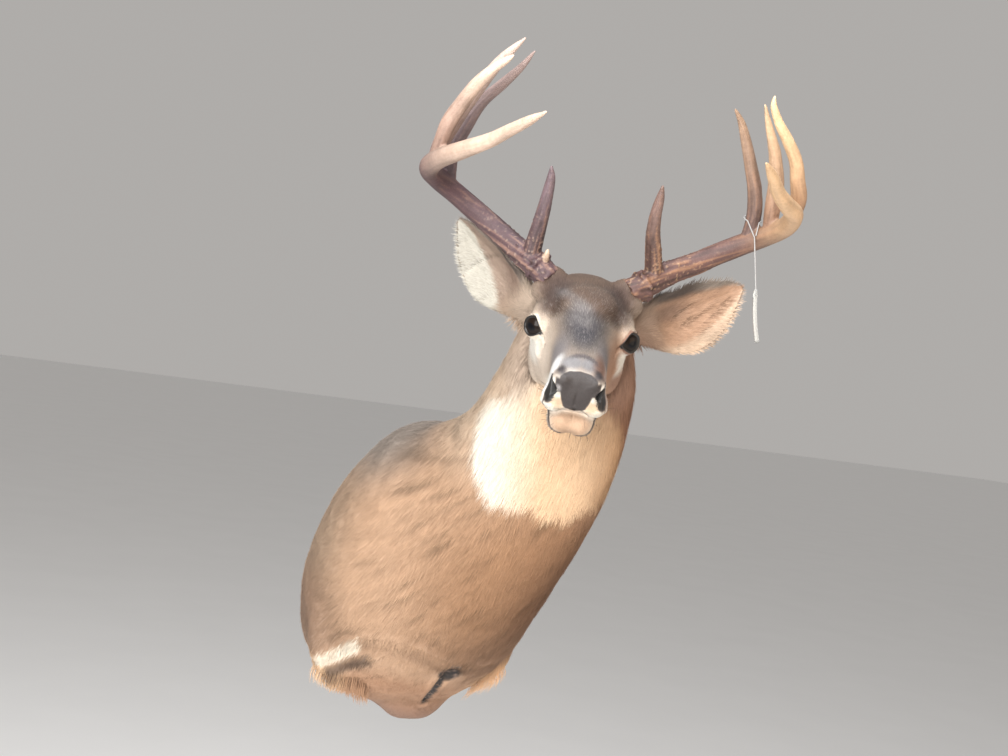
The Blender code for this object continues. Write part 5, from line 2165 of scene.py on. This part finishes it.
@dataclass
class Antler:
    """One antler in one piece: beam, tines, burr and pearls, with its grooves and stain."""

    side: Side
    voxel: float = 1.75
    columns: int = 18
    burr_radius: float = 20.5
    burr_half: float = 7.0
    pearls: int = 30
    tones: dict = field(default_factory=lambda: {
        "beam": Tone((0.088, 0.046, 0.046), (0.66, 0.5, 0.34), 1.0),
        "brow_tine": Tone((0.072, 0.04, 0.037), (0.17, 0.12, 0.12), 0.9),
        "tine_2": Tone((0.12, 0.082, 0.085), (0.34, 0.255, 0.205), 0.5),
        "tine_3": Tone((0.25, 0.165, 0.13), (0.6, 0.47, 0.35), 0.4),
        "tine_4": Tone((0.32, 0.21, 0.145), (0.74, 0.58, 0.4), 0.35),
        "sticker": Tone((0.34, 0.23, 0.14), (0.66, 0.52, 0.34), 0.3),
    })

    def lines(self) -> dict[str, Array]:
        """Return each member's smooth midline with its radius, in the head's frame."""
        sign = self.side.value
        return {name: catmull([(sign * x, y, z, r) for x, y, z, r in rows], 7)
                for name, rows in ANTLERS[self.side].items()}

    def member(self, shape: bmesh.types.BMesh, line: Array) -> None:
        """Add a tapered tube round a line.

        Args:
            shape: the bmesh that takes it.
            line: the midline's points with their radii.
        """
        points = line[:, :3]
        ways = unit(np.gradient(points, axis=0))
        level = unit(np.cross(ways[0], (0.0, 0.3, 1.0)))
        angle = round_angles(self.columns)
        rings = []
        for point, way, radius in zip(points, ways, line[:, 3]):
            level = unit(level - way * (level @ way))
            rise = np.cross(way, level)
            ring = point + radius * (np.cos(angle)[:, None] * level + np.sin(angle)[:, None] * rise)
            rings.append(HEAD.to_mount(ring))
        loft(shape, rings)

    def burr(self, shape: bmesh.types.BMesh, line: Array) -> None:
        """Add the knobbed ring at the antler's foot.

        Args:
            shape: the bmesh that takes it.
            line: the beam's midline.
        """
        here = HEAD.to_mount(line[7:8, :3])[0]
        way = Vector(unit((line[8, :3] - line[6, :3]) @ HEAD.axes().T))
        turn = Vector((0, 0, 1)).rotation_difference(way).to_matrix().to_4x4()
        turn = Matrix.Translation(Vector(here) * MM) @ turn
        size = Matrix.Diagonal((*(Vector((self.burr_radius, self.burr_radius, self.burr_half)) * MM), 1))
        bmesh.ops.create_uvsphere(shape, u_segments=32, v_segments=12, radius=1.0, matrix=turn @ size)
        rng = np.random.default_rng(5 if self.side is Side.LEFT else 6)
        for index in range(self.pearls):
            angle = math.tau * (index * 0.618 + 0.1 * rng.random())
            out, up = (19.5, rng.uniform(-3, 4)) if index % 2 else (16.5, rng.uniform(5, 40))
            size = rng.uniform(1.6, 3.0) if index % 2 else rng.uniform(1.3, 2.2)
            spot = Vector((math.cos(angle) * out, math.sin(angle) * out, up)) * MM
            spot = turn @ Matrix.Translation(spot)
            bmesh.ops.create_icosphere(shape, subdivisions=2, radius=size * MM, matrix=spot)

    def build(self, material: bpy.types.Material) -> None:
        """Make the antler.

        Args:
            material: its finish.
        """
        shape = bmesh.new()
        lines = self.lines()
        for line in lines.values():
            self.member(shape, line)
        self.burr(shape, lines["beam"])
        mesh = blended(shape, self.voxel, 2)
        places, facing = places_of(mesh), normals_of(mesh)
        head = HEAD.to_head(places)
        best = np.full(len(head), 1e9)
        colour = np.zeros((len(head), 3))
        rough, polish, groove = (np.zeros(len(head)) for _ in range(3))
        for index, (name, line) in enumerate(lines.items()):
            gap, where = to_line(head, line[:, :3])
            nearest = along_rows(where * (len(line) - 1), np.arange(len(line)), line)
            centre, radius = nearest[:, :3], nearest[:, 3]
            gap = gap / np.maximum(radius, 2.0)
            run = np.linalg.norm(np.diff(line[:, :3], axis=0), axis=1).sum()
            out = unit(head - centre) * 3.1
            track = np.column_stack((out[:, 0] + 9 * index, out[:, 1], out[:, 2] + where * run / 34.0))
            lines_here = ripple(track, 1.0) * 0.7 + 0.45 * ripple(track * (2.2, 2.2, 2.0), 1.0, 4.0)
            tone = self.tones[name]
            mine = gap < best
            start = 0.5 if self.side is Side.RIGHT else 0.34
            share = ease(start, 0.76, where) if name == "beam" else ease(0.0, 0.9, where)
            blend = over(np.array(tone.foot), tone.tip, share[:, None])
            colour[mine] = blend[mine]
            fade = (1 - ease(0.05, 0.55, where)) if name == "beam" else (1 - ease(0.1, 0.95, where))
            rough[mine] = (tone.rough * fade)[mine]
            polish[mine] = share[mine]
            groove[mine] = lines_here[mine]
            best[mine] = gap[mine]
        pearl = ease(0.5, 0.72, ripple(head, 3.4, 2.0)) * ease(0.3, 0.9, rough)
        push = (0.2 + 0.8 * rough) * groove * 0.8 + 0.9 * pearl + 0.3 * rough * ripple(head, 3.4, 8.0)
        move_to(mesh, places + facing * push[:, None])
        low = ease(0.0, -0.55, groove) * (0.25 + 0.55 * rough)
        colour = over(colour, colour * np.array((0.36, 0.3, 0.27)), low[:, None])
        # paler ridges and pearls: partly worn bone, partly painted highlight
        high = ease(0.12, 0.6, groove) * (0.18 + 0.42 * rough)
        colour = over(colour, (0.34, 0.2, 0.125), high[:, None])
        colour = over(colour, (0.42, 0.3, 0.2), (pearl * 0.45)[:, None])
        polished = 0.15 * ripple(head, 22.0, 6.0)
        # painted light: the right antler is cooled and the left warmed, after the colour of the light on
        # each side
        tint = (0.88, 0.87, 1.0) if self.side is Side.RIGHT else (1.04, 0.92, 0.78)
        paint(mesh, "marking", colour * (1 + polished)[:, None] * np.array(tint))
        mask(mesh, "polish", polish)
        mesh.shade_smooth()
        mesh.materials.append(material)
        word = self.side.word
        names = [f"{name}_{word}" for name in ("beam_base", "beam_middle", "beam_tip", "brow_tine",
                                               "tine_2", "tine_3", "tine_4")]
        new_piece("antler_" + word, mesh, names)


# ---------------------------------------------------------------- stitches
@dataclass(frozen=True)
class Stitches:
    """The rough thread that closes the belly seam."""

    count: int = 7
    reach: float = 3.4
    thick: float = 0.4

    def build(self, hide: bpy.types.Mesh) -> None:
        """Sew the seam.

        Args:
            hide: the skin, whose surface the thread crosses.
        """
        line = catmull(SEAM, 6)
        places, facing = places_of(hide), normals_of(hide)
        shape = bmesh.new()
        rng = np.random.default_rng(3)
        for index in range(self.count):
            spot = line[int(index * (len(line) - 1) / (self.count - 1))]
            near = int(np.argmin(np.linalg.norm(places - spot, axis=1)))
            out = facing[near]
            way = unit(line[min(len(line) - 1, index * 2 + 1)] - line[min(len(line) - 2, index * 2)])
            across = unit(np.cross(out, way) + way * rng.uniform(-0.5, 0.5))
            ends = [places[near] + across * self.reach * t + out * lift
                    for t, lift in ((-1, -1.2), (-0.7, 1.2), (0.0, 2.2), (0.7, 1.3), (1, -1.2))]
            run = catmull(ends, 2)
            level = unit(np.cross(across, out))
            angle = round_angles(6)
            ways = unit(np.gradient(run, axis=0))
            loft(shape, [point + self.thick * (np.cos(angle)[:, None] * level
                                               + np.sin(angle)[:, None] * np.cross(step, level))
                         for point, step in zip(run, ways)])
        item = new_piece("belly_stitches", to_mesh("belly_stitches", shape))
        thread = FibreFinish("waxed_thread", (0.2, 0.15, 0.12), (0.05, 0.04, 0.035), 900.0, 0.3)
        item.data.materials.append(thread.build())


MARKINGS = Markings()
HIDE = Hide()


def main() -> None:
    """Build the mount in order."""
    logging.basicConfig(level=logging.INFO, format="%(message)s")
    studio = Studio()
    studio.camera()
    tag = ShopTag()
    tag.slip()
    tag.string()
    skin = HIDE.build(MARKINGS)
    Coat().build(skin.data)
    Eyes().build()
    bone = AntlerFinish().build()
    for side in Side:
        Antler(side).build(bone)
    Stitches().build(skin.data)
    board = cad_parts["backboard"]
    wood = WoodFinish().build()
    for place in board.material_slots:
        place.material = wood
    studio.build()


if __name__ == "__main__":
    main()
